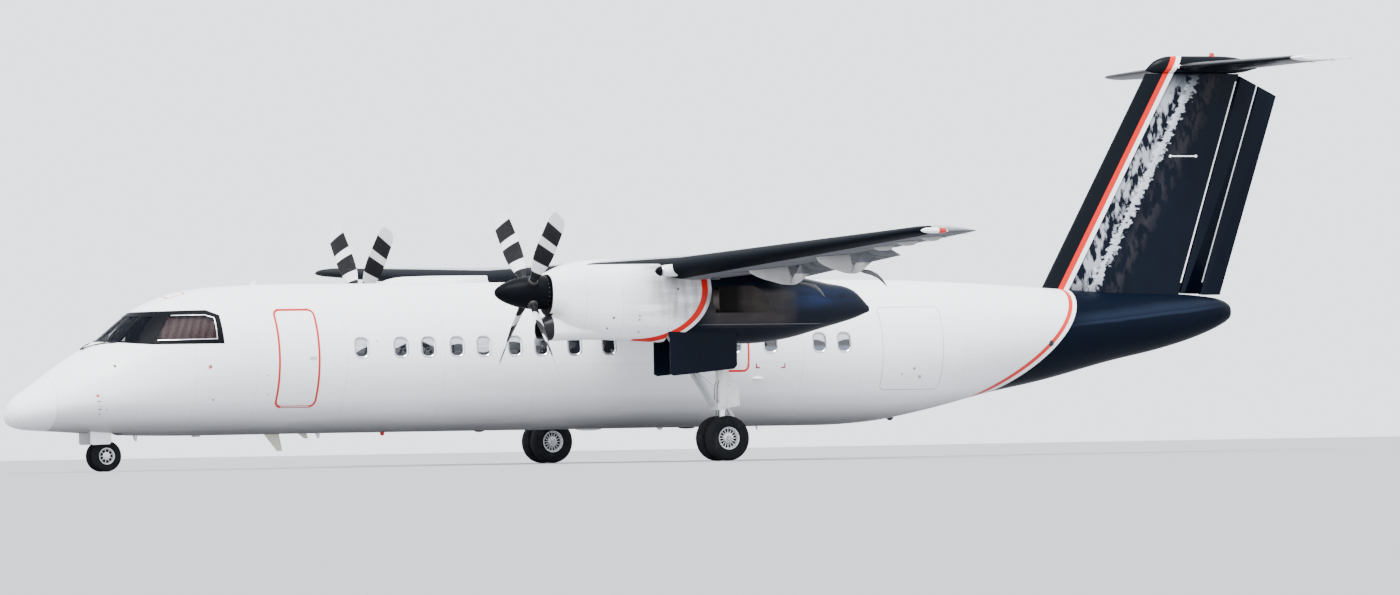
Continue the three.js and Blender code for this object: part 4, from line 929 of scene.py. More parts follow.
class Sections:
    """A short table of sections, read smoothly between its rows by their first number."""

    def __init__(self, rows):
        table = np.array(rows, float)
        self.s, self.v = table[:, 0], table[:, 1:]
        rise = np.diff(self.v, axis=0) / np.diff(self.s)[:, None]
        slope = np.vstack([rise[:1], (rise[1:] + rise[:-1]) / 2, rise[-1:]])
        for k in range(1, len(rise)):
            turns = rise[k - 1] * rise[k] <= 0
            slope[k][turns] = 0
            limit = 3 * np.minimum(abs(rise[k - 1]), abs(rise[k]))
            slope[k] = np.clip(slope[k], -limit, limit)
        self.slope = slope

    def row(self, station):
        k = int(np.clip(np.searchsorted(self.s, station) - 1, 0, len(self.s) - 2))
        h = self.s[k + 1] - self.s[k]
        t = (station - self.s[k]) / h
        a, b = self.v[k], self.v[k + 1]
        ma, mb = self.slope[k] * h, self.slope[k + 1] * h
        eased = a * (2 * t**3 - 3 * t**2 + 1) + ma * (t**3 - 2 * t**2 + t)
        return [station, *(eased + b * (3 * t**2 - 2 * t**3) + mb * (t**3 - t**2))]

    def stations(self, start, end, step):
        marks = [start, *[s for s in self.s if start + 0.02 < s < end - 0.02], end]
        places = [start]
        for low, high in zip(marks, marks[1:]):
            count = max(1, math.ceil((high - low) / step))
            places += [low + (high - low) * (i + 1) / count for i in range(count)]
        return places


HULL = Sections([
    (0, 0.935, 1.000, 1.065, 0.070),
    (0.04, 0.865, 1.010, 1.160, 0.170),
    (0.12, 0.820, 1.035, 1.285, 0.290),
    (0.30, 0.770, 1.080, 1.430, 0.440),
    (0.48, 0.750, 1.120, 1.545, 0.560),
    (0.73, 0.735, 1.190, 1.715, 0.700),
    (1.05, 0.715, 1.270, 1.930, 0.840),
    (1.40, 0.690, 1.350, 2.140, 0.955),
    (1.75, 0.660, 1.430, 2.335, 1.045),
    (2.04, 0.645, 1.495, 2.560, 1.100),
    (2.32, 0.635, 1.560, 2.780, 1.150),
    (2.74, 0.624, 1.680, 3.010, 1.215),
    (3.19, 0.617, 1.800, 3.160, 1.275),
    (3.75, 0.615, 1.900, 3.250, 1.320),
    (4.76, 0.617, 1.955, 3.300, FUSELAGE_RADIUS),
    (5.50, 0.620, BARREL_Z, 3.310, FUSELAGE_RADIUS),
    (15.85, 0.620, BARREL_Z, 3.310, FUSELAGE_RADIUS),
    (17.06, 0.690, 1.990, 3.300, 1.330),
    (17.86, 0.830, 2.050, 3.280, 1.285),
    (18.47, 0.960, 2.110, 3.250, 1.225),
    (19.27, 1.150, 2.190, 3.210, 1.130),
    (20.48, 1.380, 2.290, 3.130, 0.960),
    (21.90, 1.720, 2.420, 3.040, 0.740),
    (23.10, 1.970, 2.510, 3.000, 0.540),
    (23.90, 2.200, 2.580, 2.950, 0.370),
    (24.44, 2.430, 2.640, 2.850, 0.210),
    (24.54, 2.500, 2.640, 2.785, 0.140),
])
NACELLE = Sections([
    (8.76, 2.640, 3.040, 3.360, 0.330),
    (9.00, 2.400, 2.990, 3.470, 0.430),
    (9.50, 2.240, 2.930, 3.520, 0.470),
    (10.60, 2.150, 2.880, 3.530, 0.480),
    (11.60, 2.100, 2.850, 3.510, 0.480),
    (12.60, 2.090, 2.800, 3.440, 0.475),
    (13.40, 2.170, 2.760, 3.330, 0.430),
    (14.20, 2.370, 2.760, 3.170, 0.310),
    (14.77, 2.520, 2.780, 3.030, 0.170),
    (15.09, 2.640, 2.690, 2.740, 0.040),
])
INTAKE = Sections([
    (8.63, 2.215, 2.380, 2.560, 0.235),
    (8.80, 2.180, 2.370, 2.640, 0.270),
    (9.50, 2.190, 2.400, 2.740, 0.310),
    (10.15, 2.186, 2.420, 2.740, 0.220),
])
WING_FAIRING = Sections([
    (9.90, 3.100, 3.180, 3.290, 0.200),
    (10.40, 2.900, 3.020, 3.450, 0.620),
    (10.87, 2.800, 2.950, 3.640, 0.860),
    (11.70, 2.800, 2.930, 3.715, 0.940),
    (12.70, 2.800, 2.930, 3.670, 0.940),
    (13.33, 2.800, 2.950, 3.560, 0.880),
    (14.10, 2.900, 3.050, 3.420, 0.620),
    (14.90, 3.100, 3.180, 3.290, 0.220),
])
FIN_TIP = Sections([
    (22.88, 7.200, 7.210, 7.225, 0.020),
    (23.05, 7.160, 7.240, 7.380, 0.090),
    (23.47, 7.150, 7.260, 7.485, 0.130),
    (24.30, 7.150, 7.270, 7.485, 0.140),
    (24.90, 7.170, 7.270, 7.440, 0.120),
    (25.25, 7.250, 7.280, 7.320, 0.030),
])
TIP_POD = Sections([
    (11.40, 3.808, 3.818, 3.830, 0.010),
    (11.48, 3.780, 3.818, 3.862, 0.036),
    (11.66, 3.772, 3.818, 3.870, 0.044),
    (11.82, 3.780, 3.818, 3.862, 0.040),
    (11.92, 3.806, 3.818, 3.832, 0.014),
])
LANDING_LIGHT = Sections([
    (10.59, 3.375, 3.385, 3.395, 0.020),
    (10.64, 3.320, 3.385, 3.450, 0.075),
    (10.76, 3.290, 3.390, 3.490, 0.105),
    (11.00, 3.290, 3.400, 3.510, 0.115),
])


def section_ring(row, points, power=2.0, inset=0.0, y=0.0):
    station, bottom, widest, top, half = row
    ring = []
    for i in range(points):
        turn = math.tau * i / points
        c, s = math.cos(turn), math.sin(turn)
        across = math.copysign(abs(c) ** (2 / power), c) * (half - inset)
        rise = math.copysign(abs(s) ** (2 / power), s)
        height = top - inset - widest if rise > 0 else widest - bottom - inset
        ring.append(Vector((at(station), y + across, widest + rise * height)))
    return ring


def skin(table, start, end, points=72, step=0.3, tip=0.0, **shape):
    rows = [table.row(s) for s in table.stations(start, end, step)]
    return Form().loft([section_ring(row, points, **shape) for row in rows], tip=tip)


def hull_y(station, z, out=0.0):
    """Half width of the fuselage at a station and height."""
    _, bottom, widest, top, half = HULL.row(station)
    height = (top if z > widest else bottom) - widest
    return half * math.sqrt(max(0.0, 1 - ((z - widest) / height) ** 2)) + out


def hull_z(station, y, out=0.0):
    """Height of the fuselage's upper surface at a station and distance from the middle."""
    _, _, widest, top, half = HULL.row(station)
    return widest + (top - widest) * math.sqrt(max(0.0, 1 - (y / half) ** 2)) + out


def rounded(box, radius, steps=5, grow=0.0):
    (a0, b0), (a1, b1) = box
    a0, b0, a1, b1, radius = a0 - grow, b0 - grow, a1 + grow, b1 + grow, radius + grow
    corners = ((a1, b1, 0), (a0, b1, 90), (a0, b0, 180), (a1, b0, 270))
    outline = []
    for a, b, start in corners:
        centre = (a - math.copysign(radius, a - (a0 + a1) / 2), b - math.copysign(radius, b - (b0 + b1) / 2))
        for i in range(steps + 1):
            turn = math.radians(start + 90 * i / steps)
            outline.append((centre[0] + radius * math.cos(turn), centre[1] + radius * math.sin(turn)))
    return outline


def drawn_in(corners, gap):
    """An outline moved inwards along its corners' bisectors."""
    corners = [Vector(c) for c in corners]
    after_each = corners[1:] + corners[:1]
    area = sum(a.x * b.y - b.x * a.y for a, b in zip(corners, after_each))
    sign = 1 if area > 0 else -1
    moved = []
    for before, here, after in zip(corners[-1:] + corners[:-1], corners, after_each):
        a, b = (here - before).normalized(), (after - here).normalized()
        inward = Vector((-a.y, a.x)) * sign, Vector((-b.y, b.x)) * sign
        bisector = (inward[0] + inward[1]).normalized()
        moved.append(tuple(here + bisector * gap / max(0.3, bisector.dot(inward[0]))))
    return moved


# Fuselage

WINDSCREEN = [(0.035, 2.330), (0.895, 2.280), (0.640, 2.750), (0.035, 2.770)]
SCREEN_FRONT = [(0.035, 2.330), (0.560, 2.300), (0.440, 2.757), (0.035, 2.770)]
SCREEN_SIDE = [(0.590, 2.298), (0.895, 2.280), (0.640, 2.750), (0.468, 2.756)]
SIDE_WINDOW = [(2.400, 2.270), (3.610, 2.285), (3.630, 2.730), (3.440, 2.800), (2.810, 2.795)]
SURROUND = [
    (1.50, 2.325), (1.75, 2.305), (2.20, 2.258), (2.45, 2.240), (3.69, 2.240), (3.69, 2.750),
    (3.475, 2.845), (2.36, 2.830), (1.50, 2.830),
]
SCREEN_REACH = (1.65, 2.79)
WINDOW_STATIONS = [
    6.29, 7.05, 7.58, 8.14, 8.66, 9.27, 9.79, 10.44, 11.12, 12.17, 12.72, 13.62, 14.35, 15.34, 15.84,
]
WINDOW_Z = 2.14
WINDOW_SIZE = (0.27, 0.37)
# The port wall's span in y, and the stations between which its skin is cut for panes and doors
PORT_WALL = (0.3, 2.0)
GLAZED = (1.5, 3.9)
DOORWAY = (4.5, 5.7)
BAGGAGE = (16.4, 18.1)


def other_side(corners):
    return [(-y, z) for y, z in corners]


def fine_hull(start, end, step=0.12, **shape):
    return skin(HULL, start, end, 96, step, **shape)


def shell(span, out, depth):
    """A layer of the fuselage's skin, from out of it to a depth below it."""
    start, end = span
    inside = fine_hull(start - 0.01, end + 0.01, inset=depth)
    return carved(fine_hull(start, end, inset=-out), cuts=[inside])


def pane_prism(outline, side, gap=0.0):
    """A pane's outline, drawn in by a gap, pushed through the fuselage from ahead or from a side."""
    corners = drawn_in(outline, gap)
    if outline is SIDE_WINDOW:
        return Form().prism(corners, *(PORT_WALL if side > 0 else (-PORT_WALL[1], -PORT_WALL[0])))
    return Form().prism(corners if side > 0 else other_side(corners), *SCREEN_REACH, plane="front")


def forward_fuselage():
    base = fine_hull(SPLITS["radome"], SPLITS["forward"] - GAP)
    deck_room = Form().block((1.9, 4.0), (-2, 2), (1.35, 4))
    entry_room = Form().block(DOORWAY, (-0.15, 2), (1.10, 3.0))
    cuts = [
        carved(skin(HULL, 1.96, 3.96, 48, inset=SKIN), keep=[deck_room]),
        carved(skin(HULL, 4.56, 5.64, 48, inset=SKIN), keep=[entry_room]),
        Form().block((1.48, 2.12), (-0.31, 0.31), (0, 1.15)),
        Form().prism(rounded(DOOR_BOX, DOOR_RADIUS), *PORT_WALL),
        Form().block((3.86, 4.66), (-0.15, 0.35), (1.35, 2.9)),
    ]
    for _, side in SIDES:
        cuts += [pane_prism(WINDSCREEN, side), pane_prism(SIDE_WINDOW, side)]
    piece("forward_fuselage_skin", carved(base, cuts), ["fuselage", "cabin"],
          replaces=["forward_fuselage"], skin=base, inner=1)
    nose = fine_hull(0, SPLITS["radome"] - GAP, 0.06, tip=0.004)
    piece("radome_skin", nose, "radome", replaces=["radome"])


def flight_deck_glazing():
    """Black surround, three panes a side, a thin silver frame round the side pane, and wipers."""
    cuts = []
    for _, side in SIDES:
        cuts += [pane_prism(SCREEN_FRONT, side, 0.014), pane_prism(SCREEN_SIDE, side, 0.014)]
        cuts.append(pane_prism(SIDE_WINDOW, side, 0.030))
    surround = carved(shell(GLAZED, 0.004, 0.03), cuts, keep=[Form().prism(SURROUND, -2, 2)])
    piece("window_surround", surround, "black", angle=30)
    glass, trim = shell(GLAZED, -0.004, 0.016), shell(GLAZED, 0.006, 0.02)
    for name, side in SIDES:
        for label, outline, gap, node in (
            ("windscreen_pane", SCREEN_FRONT, 0.013, f"windscreen_{name}"),
            ("windscreen_outer_pane", SCREEN_SIDE, 0.013, None),
            ("side_pane", SIDE_WINDOW, 0.029, f"side_window_{name}"),
        ):
            pane = carved(pane_prism(outline, side, gap), keep=[glass])
            piece(f"{label}_{name}", pane, "glass", replaces=[node] if node else ())
        wall = sorted(side * y for y in PORT_WALL)
        ahead = Form().prism([(2.2, 2.2), (2.53, 2.2), (2.53, 2.33), (2.975, 2.9), (2.2, 2.9)], *wall)
        outer, inner = pane_prism(SIDE_WINDOW, side, 0.036), pane_prism(SIDE_WINDOW, side, 0.048)
        ring = carved(trim, cuts=[inner, ahead], keep=[outer])
        piece(f"side_pane_trim_{name}", ring, "silver")
        wiper = Form()
        for path, lift, start, end in (
            (((1.47, 0.05), (1.62, 0.22), (1.76, 0.40)), 0.022, 0.011, 0.007),
            (((1.64, 0.20), (1.72, 0.34), (1.82, 0.50), (1.90, 0.60)), 0.012, 0.010, 0.010),
        ):
            wiper.tube([(at(s), side * y, hull_z(s, y, lift)) for s, y in path], start, 8, end)
        wiper.turned([(0.0005, 0.03), (0.022, 0.025), (0.026, -0.03), (0.0005, -0.03)],
                     (at(1.47), side * 0.05, hull_z(1.47, 0.05)), (0.5, 0, 1), 20)
        piece(f"wiper_{name}", wiper, "matt")


def flight_deck():
    """Panel with its coaming and dials, seats, control wheels and the drawn side curtain."""
    dressed("instrument_panel", "plastic", bevel=0.012)
    face = Form()
    for k in range(5):
        y = -0.56 + 0.28 * k
        face.prism(rounded(((y - 0.10, 1.98), (y + 0.10, 2.14)), 0.015), 2.455, 2.475, "front")
    piece("instrument_screens", face, "black")
    knobs = [(at(2.475), -0.62 + 0.077 * k, 1.93) for k in range(17)]
    grown("instrument_knobs", PLACE, points_mesh(knobs, [facing((-1, 0, 0))] * len(knobs)),
          stud(0.014, 0.012, 12), 1.0, "silver")
    for name, side in SIDES:
        dressed(f"pilot_seat_{name}", "cloth", bevel=0.03)
        y = side * 0.48
        column = Form().tube([(at(2.62), y, 1.40), (at(2.66), y, 2.02)], 0.025)
        wheel = [
            (at(2.70), y + 0.17 * math.cos(t), 2.08 + 0.12 * math.sin(t))
            for t in np.linspace(math.radians(150), math.radians(390), 14)
        ]
        column.tube(wheel, 0.014)
        column.tube([(at(2.66), y, 2.02), (at(2.70), y, 1.97)], 0.02)
        piece(f"control_wheel_{name}", column, "matt")
        piece(f"side_curtain_{name}", curtain(side), "curtain")


def curtain(side, columns=56, rows=6, thick=0.004):
    """A folded sheet that hangs inside the side window."""
    face = [
        Vector((at(s), side * (hull_y(s, z) - 0.085 + 0.008 * math.sin(s * 62)), z))
        for z in np.linspace(2.24, 2.80, rows)
        for s in np.linspace(2.62, 3.60, columns)
    ]
    count = len(face)
    top = grid(rows, columns, around=False)
    under = [tuple(i + count for i in reversed(corners)) for corners in top]
    last = (rows - 1) * columns
    rim = [*range(columns), *range(2 * columns - 1, count, columns)]
    rim += [*range(count - 2, last - 1, -1), *range(last - columns, 0, -columns)]
    edge = [(a, a + count, b + count, b) for a, b in zip(rim, rim[1:] + rim[:1])]
    back = [p - Vector((0, side * thick, 0)) for p in face]
    return Form().add(face + back, top + under + edge)


def window_outline(grow):
    half_u, half_v = WINDOW_SIZE[0] / 2, WINDOW_SIZE[1] / 2
    return rounded(((-half_u, -half_v), (half_u, half_v)), 0.105, 6, grow)


def on_barrel(u, v, out):
    """A place on the round cabin wall: u along it, v round it, measured from a window's middle."""
    turn = math.asin((WINDOW_Z - BARREL_Z) / FUSELAGE_RADIUS) + v / FUSELAGE_RADIUS
    radius = FUSELAGE_RADIUS + out
    return Vector((u, radius * math.cos(turn), BARREL_Z + radius * math.sin(turn)))


def window_ring(grow, out):
    return [on_barrel(u, v, out) for u, v in window_outline(grow)]


def cabin_windows():
    """Window frames and panes, one unit of each set along both walls by Geometry Nodes."""
    profile = [(0.012, 0.003), (0.012, -0.012), (-0.022, -0.022), (-0.022, -0.010), (-0.004, 0.003)]
    rings = [window_ring(grow, out) for grow, out in profile]
    frame_faces = grid(len(rings), len(rings[0]), closed=True)
    frames = Form().add([p for ring in rings for p in ring], frame_faces)
    layers = ((-0.010, -0.030), (-0.010, -0.020), (-0.016, -0.018))
    pane = Form().loft([window_ring(grow, out) for grow, out in layers])
    count = len(WINDOW_STATIONS)
    places = [(at(s), 0, 0) for s in WINDOW_STATIONS] * 2
    turns = [(0, 0, 0)] * count + [(0, 0, math.pi)] * count
    for name, unit, finish in (
        ("cabin_window_frames", frames, "silver"),
        ("cabin_window_panes", pane, "pane"),
    ):
        grown(name, PLACE, points_mesh(places, turns), unit, 1.0, finish)


def window_pockets(start, end):
    pockets = Form()
    for station in WINDOW_STATIONS:
        if start < station < end:
            for _, side in SIDES:
                pockets.loft([
                    [Vector((at(station) + p.x, side * p.y, p.z)) for p in window_ring(0.004, out)]
                    for out in (-0.05, 0.03)
                ])
    return pockets


def cabin():
    baggage_wall = Form().prism(rounded(BAGGAGE_BOX, BAGGAGE_RADIUS), *PORT_WALL)
    hold = Form().block((14.9, 19.5), (-2, 2), (1.10, 4))
    for node, start, end in (("centre_fuselage", "forward", "centre"), ("rear_fuselage", "centre", "rear")):
        base = fine_hull(SPLITS[start], SPLITS[end] - GAP, 0.3)
        cuts = [window_pockets(SPLITS[start], SPLITS[end])]
        if node == "rear_fuselage":
            cuts += [
                carved(baggage_wall, cuts=[skin(HULL, *BAGGAGE, 64, inset=SKIN)]),
                carved(skin(HULL, SPLITS["centre"] - 0.01, 19.4, 64, inset=SKIN), keep=[hold]),
            ]
        piece(node + "_skin", carved(base, cuts), ["fuselage", "lining"], replaces=[node],
              skin=base, inner=1)
    cone = fine_hull(SPLITS["rear"], SPLITS["end"], 0.25)
    piece("tail_cone_skin", cone, "fuselage", replaces=["tail_cone"])
    outline = rounded(BAGGAGE_BOX, BAGGAGE_RADIUS, grow=-GAP * 8)
    door = carved(shell(BAGGAGE, 0, SKIN - GAP), keep=[Form().prism(outline, *PORT_WALL)])
    piece("baggage_door_skin", door, ["fuselage", "lining"], replaces=["baggage_door"],
          skin=fine_hull(*BAGGAGE), inner=1)


def airstair_door():
    """The passenger door with its handle, stair sides, steps and grip studs."""
    body = "airstair_door"
    outline = rounded(((4.716, 1.106), (5.464, 2.82)), 0.106)
    door = carved(shell(DOORWAY, 0, SKIN), keep=[Form().prism(outline, *PORT_WALL)])
    piece("airstair_door_skin", door, ["fuselage", "cabin"], body, [body],
          skin=fine_hull(*DOORWAY), inner=1)
    stairs = Form()
    treads = []
    for z in (1.42, 1.75, 2.08, 2.41):
        y = math.sqrt((FUSELAGE_RADIUS - SKIN) ** 2 - (z - BARREL_Z) ** 2)
        stairs.block((4.77, 5.41), (y - 0.24, y + 0.01), (z, z + 0.03))
        for k in range(17):
            x = at(4.80 + 0.035 * k)
            treads.append([(x, y - 0.225, z + 0.031), (x, y - 0.01, z + 0.031)])
    for label, s in (("front", 4.77), ("rear", 5.38)):
        before, after = s - 0.01, s + 0.04
        rail = carved(
            skin(HULL, s, s + 0.03, 64, inset=0.05),
            cuts=[skin(HULL, before, after, 64, inset=0.23)],
            keep=[Form().block((before, after), PORT_WALL, (1.3, 2.56))],
        )
        piece(f"stair_stringer_{label}", rail, "strut", body, bevel=0.002)
    stairs.tube([(at(4.82), 1.038, 1.1), (at(5.36), 1.038, 1.1)], 0.0118, 16)
    piece("airstair_steps", stairs, "strut", body, bevel=0.003)
    grown("stair_grip_studs", ROW, paths_mesh(treads), stud(0.008, 0.002), 0.035, "matt", body)
    y = hull_y(5.35, 1.96)
    handle = Form().prism(rounded(((5.28, 1.93), (5.42, 1.99)), 0.02), y - 0.004, y + 0.004)
    piece("airstair_door_handle", handle, "silver", body)


# Wing

# Wing: distance from the middle, leading edge, chord, height, thickness as a share of the chord
WING = np.array([
    (0, 10.870, 2.460, 3.420, 0.18),
    (4.40, 10.870, 2.460, 3.420, 0.18),
    (9.70, 11.123, 1.750, 3.651, 0.155),
    (13.20, 11.290, 1.280, 3.804, 0.13),
    (13.56, 11.380, 1.120, 3.821, 0.12),
    (13.715, 11.620, 0.640, 3.828, 0.08),
])
CAMBER = 0.02
WING_TIP_Y = 13.713
PANEL_JOINT_Y = 4.46
FLAP_START, FLAP_SLOT, PIVOT_DROP, PIVOT_AHEAD = 0.72, 0.012, 0.35, 0.03
AILERON_START = 0.75
INNER_BAY, OUTER_BAY, AILERON_BAY = (3.408, 0.992), (4.545, 9.755), (9.892, 13.158)
TRACKS, AILERON_HINGES = (2.2, 6.2, 9.0), (10.7, 11.7, 12.7)


def wing_at(y):
    return [np.interp(abs(y), WING[:, 0], WING[:, k]) for k in range(1, 5)]


def half_thickness(x, ratio):
    root = 0.2969 * math.sqrt(x) - 0.126 * x
    return 5 * ratio * (root - 0.3516 * x**2 + 0.2843 * x**3 - 0.102 * x**4)


def wing_ring(y, steps=22):
    lead, chord, height, ratio = wing_at(y)
    shares = [(1 - math.cos(math.pi * i / steps)) / 2 for i in range(steps + 1)]
    ring = []
    for x, side in [(x, 1) for x in reversed(shares)] + [(x, -1) for x in shares[1:]]:
        half = half_thickness(x, ratio) * chord + 0.003
        z = height + 4 * CAMBER * x * (1 - x) * chord + side * half
        ring.append(Vector((at(lead + x * chord), y, z)))
    return ring


def behind_line(reach, side, share):
    """The room behind a share of the chord, between two distances from the middle."""
    (y0, y1), aft = [side * y for y in reach], 15.2
    front = [(wing_at(y)[0] + share * wing_at(y)[1], y) for y in (y0, y1)]
    return Form().prism([*front, (aft, y1), (aft, y0)], 2.7, 4.7, "top")


def flap_pivot(y):
    lead, chord, height, _ = wing_at(y)
    return lead + FLAP_START * chord + FLAP_SLOT - PIVOT_AHEAD, height - PIVOT_DROP


# Track fairing: share of the front part or metres ahead of the pivot, low and high, half width
CANOE = [
    (1.0, 0.240, 0.250, 0.004), (0.93, 0.150, 0.290, 0.030), (0.78, 0.085, 0.290, 0.048),
    (0.62, 0.035, 0.290, 0.055), (0.42, -0.010, 0.290, 0.054), (0.25, -0.048, 0.290, 0.048),
    (0.12, -0.058, 0.288, 0.040),
]
CANOE_TAIL = [(0.055, -0.060, 0.120, 0.0345), (-0.02, -0.060, 0.060, 0.034), (-0.05, -0.045, 0.035, 0.024)]
# Arm: metres behind the pivot, above it, half height, half width
FLAP_ARM = [
    (0.105, -0.010, 0.016, 0.014), (0.19, -0.020, 0.036, 0.020), (0.32, -0.045, 0.042, 0.020),
    (0.44, -0.100, 0.040, 0.018), (0.53, -0.175, 0.034, 0.015), (0.59, -0.245, 0.020, 0.010),
    (0.62, -0.275, 0.006, 0.004),
]


def canoe(y, side):
    """Rings of a track fairing, wide ahead and slim where the flap's arm swings beside it."""
    station, z = flap_pivot(y)
    front = 0.4 * wing_at(y)[1]
    rows = [(share * front, *rest) for share, *rest in CANOE] + CANOE_TAIL
    return [
        oval(station - ahead, y, z + (low + high) / 2, half, (high - low) / 2, side, 28)
        for ahead, low, high, half in rows
    ]


def blister(station, y, z, long, wide, deep):
    """Rings of a smooth bump, pointed at both ends, around a place on a skin."""
    return [
        oval(station - long * math.cos(a), y, z, wide * math.sin(a), deep * math.sin(a))
        for a in np.linspace(0.05, math.pi - 0.05, 9)
    ]


def flap_arm(y, side):
    """Rings of the bent arm that trails from a track fairing and droops with the flap."""
    station, z = flap_pivot(y)
    return [oval(station + behind, y, z + up, half, tall, side) for behind, up, tall, half in FLAP_ARM]


def wing_panels():
    inner_bays = [behind_line(INNER_BAY, side, FLAP_START) for _, side in SIDES]
    spans = [-PANEL_JOINT_Y + GAP, -4.4, -2.2, 0, 2.2, 4.4, PANEL_JOINT_Y - GAP]
    centre = Form().loft([wing_ring(y) for y in spans])
    piece("wing_centre_skin", carved(centre, inner_bays), ["wing", "wing"],
          replaces=["wing_centre"], skin=centre, inner=1)
    for name, side in SIDES:
        spans = [PANEL_JOINT_Y, *np.linspace(5.3, 9.7, 5), *np.linspace(10.5, 13.2, 4)]
        spans += [13.38, 13.56, 13.64, WING_TIP_Y]
        base = Form().loft([wing_ring(y) for y in spans]).to_side(side)
        bays = [
            behind_line(OUTER_BAY, side, FLAP_START),
            behind_line(AILERON_BAY, side, AILERON_START),
        ]
        piece(f"wing_skin_{name}", carved(base, bays), ["wing", "wing"],
              replaces=[f"wing_{name}"], skin=base, inner=1)
        fairings = Form()
        for y in TRACKS:
            fairings.loft(canoe(y, side))
        for y in AILERON_HINGES:
            lead, chord, height, ratio = wing_at(y)
            under = height + (4 * CAMBER * 0.24 - half_thickness(0.6, ratio)) * chord
            fairings.loft(blister(lead + 0.6 * chord, side * y, under, 0.20, 0.036, 0.075))
        piece(f"flap_track_fairings_{name}", fairings, "fairing")
        lights(name, side)
        arms = Form()
        for y in TRACKS[1:]:
            arms.loft(flap_arm(y, side))
        piece(f"flap_track_arms_{name}", arms, "steel", f"outer_flap_{name}")
        for part in ("inner_flap", "outer_flap", "aileron"):
            node = f"{part}_{name}"
            dressed(node, "wing", node, angle=40)
    fairing = skin(WING_FAIRING, 9.9, 14.9, 64, 0.2)
    cuts = [skin(HULL, 9.8, 15.1, 96, 0.5, inset=0.01), *inner_bays]
    piece("wing_fairing_skin", carved(fairing, cuts), ["white", "white"],
          replaces=["wing_fairing"], skin=fairing, inner=1)


def lights(name, side):
    """The tip pod with its light, and the landing light by the engine."""
    pod, lamp = {"y": side * (WING_TIP_Y - 0.025)}, {"y": side * 4.6}
    colour = "red_light" if side > 0 else "green_light"
    for label, table, start, end, points, step, shape, slot, finish in (
        ("tip_pod", TIP_POD, 11.40, 11.92, 24, 0.04, pod, "white_paint", "white"),
        ("tip_light", TIP_POD, 11.72, 11.86, 24, 0.03, pod | {"inset": -0.003}, "window_glass", colour),
        ("landing_light_housing", LANDING_LIGHT, 10.72, 11.0, 32, 0.04, lamp, "white_paint", "white"),
        ("landing_light_ring", LANDING_LIGHT, 10.695, 10.72, 32, 0.02, lamp | {"inset": -0.004},
         "wheel_metal", "silver"),
        ("landing_light_lens", LANDING_LIGHT, 10.59, 10.6949, 32, 0.012, lamp, "window_glass", "black"),
    ):
        piece(f"{label}_{name}", skin(table, start, end, points, step, **shape), finish)


def static_wicks():
    """Thin discharge rods along the trailing edges, set out by Geometry Nodes, one piece a body."""
    rod = Form().tube([(0, 0, -0.01), (0, 0, 0.11)], 0.0035, 6)
    for name, side in SIDES:
        node = f"elevator_{name}"
        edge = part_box(node)[0].x + 0.012
        rearmost = sorted((v.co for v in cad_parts[node].data.vertices), key=lambda c: c.x)[:8]
        z = sum(c.z for c in rearmost) / len(rearmost)
        tips = [wing_at(y) for y in (11.0, 11.9, 12.8)]
        aileron = [
            (at(lead + chord), side * y, height + 0.004)
            for y, (lead, chord, height, _) in zip((11.0, 11.9, 12.8), tips)
        ]
        elevator = [(edge, side * y, z) for y in (2.2, 3.0, 3.7)]
        for body, places in ((f"aileron_{name}", aileron), (node, elevator)):
            turns = [facing((-1, 0, -0.12))] * len(places)
            grown(f"{body}_static_wicks", PLACE, points_mesh(places, turns), rod, 1.0,
                  "matt", body)


# Engines and propellers

COWL_POWER = 2.5
COWL_SEAMS = (9.35, 10.05, 10.95)


def nacelles():
    for name, side in SIDES:
        y = side * ENGINE_Y
        shape = {"power": COWL_POWER, "y": y}
        body = skin(NACELLE, 8.76, 15.09, 80, 0.07, **shape)
        chin = skin(INTAKE, 8.63, 10.15, 64, 0.05, **shape)
        mouth = skin(INTAKE, 8.6301, 9.2, 48, 0.08, inset=0.035, **shape)
        mouth.points = [p + Vector((0.02 if p.x > at(8.64) else 0, 0, 0)) for p in mouth.points]
        low_y, low_z = ENGINE_Y + 0.47, 2.64
        corner = Vector((at(12.95), low_y, low_z))
        recess = Form().block((11.85, 12.95), (low_y, ENGINE_Y + 0.72), (low_z, 3.12))
        turn = Matrix.Rotation(math.radians(-5), 4, "Z")
        swing = Matrix.Translation(corner) @ turn @ Matrix.Translation(-corner)
        recess.points = [swing @ p for p in recess.points]
        cuts = [
            mouth,
            recess.to_side(side),
            Form().block((9.10, 10.97), (y - 0.35, y + 0.35), (2.56, 3.31)),
            Form().block((10.96, 12.33), (y - 0.37, y + 0.37), (1.5, 2.98)),
        ]
        whole = carved(body, join=[chin])
        piece(f"nacelle_skin_{name}", carved(whole, cuts), ["nacelle", "soot"],
              replaces=[f"nacelle_{name}"], skin=[body, chin], inner=1, angle=40)
        rim = [(0.205, 0.0), (0.205, -0.10), (0.185, -0.12), (0.175, -0.02), (0.19, 0.004)]
        mouth_z = 2.88
        middle = (at(11.98), side * (ENGINE_Y + 0.375), mouth_z)
        pipe = Form().turned(rim, middle, (-0.86, side * 0.5, 0), 40)
        pipe.points = [Vector((p.x, p.y, mouth_z + (p.z - mouth_z) * 1.05)) for p in pipe.points]
        piece(f"exhaust_pipe_{name}", pipe, "burnt")


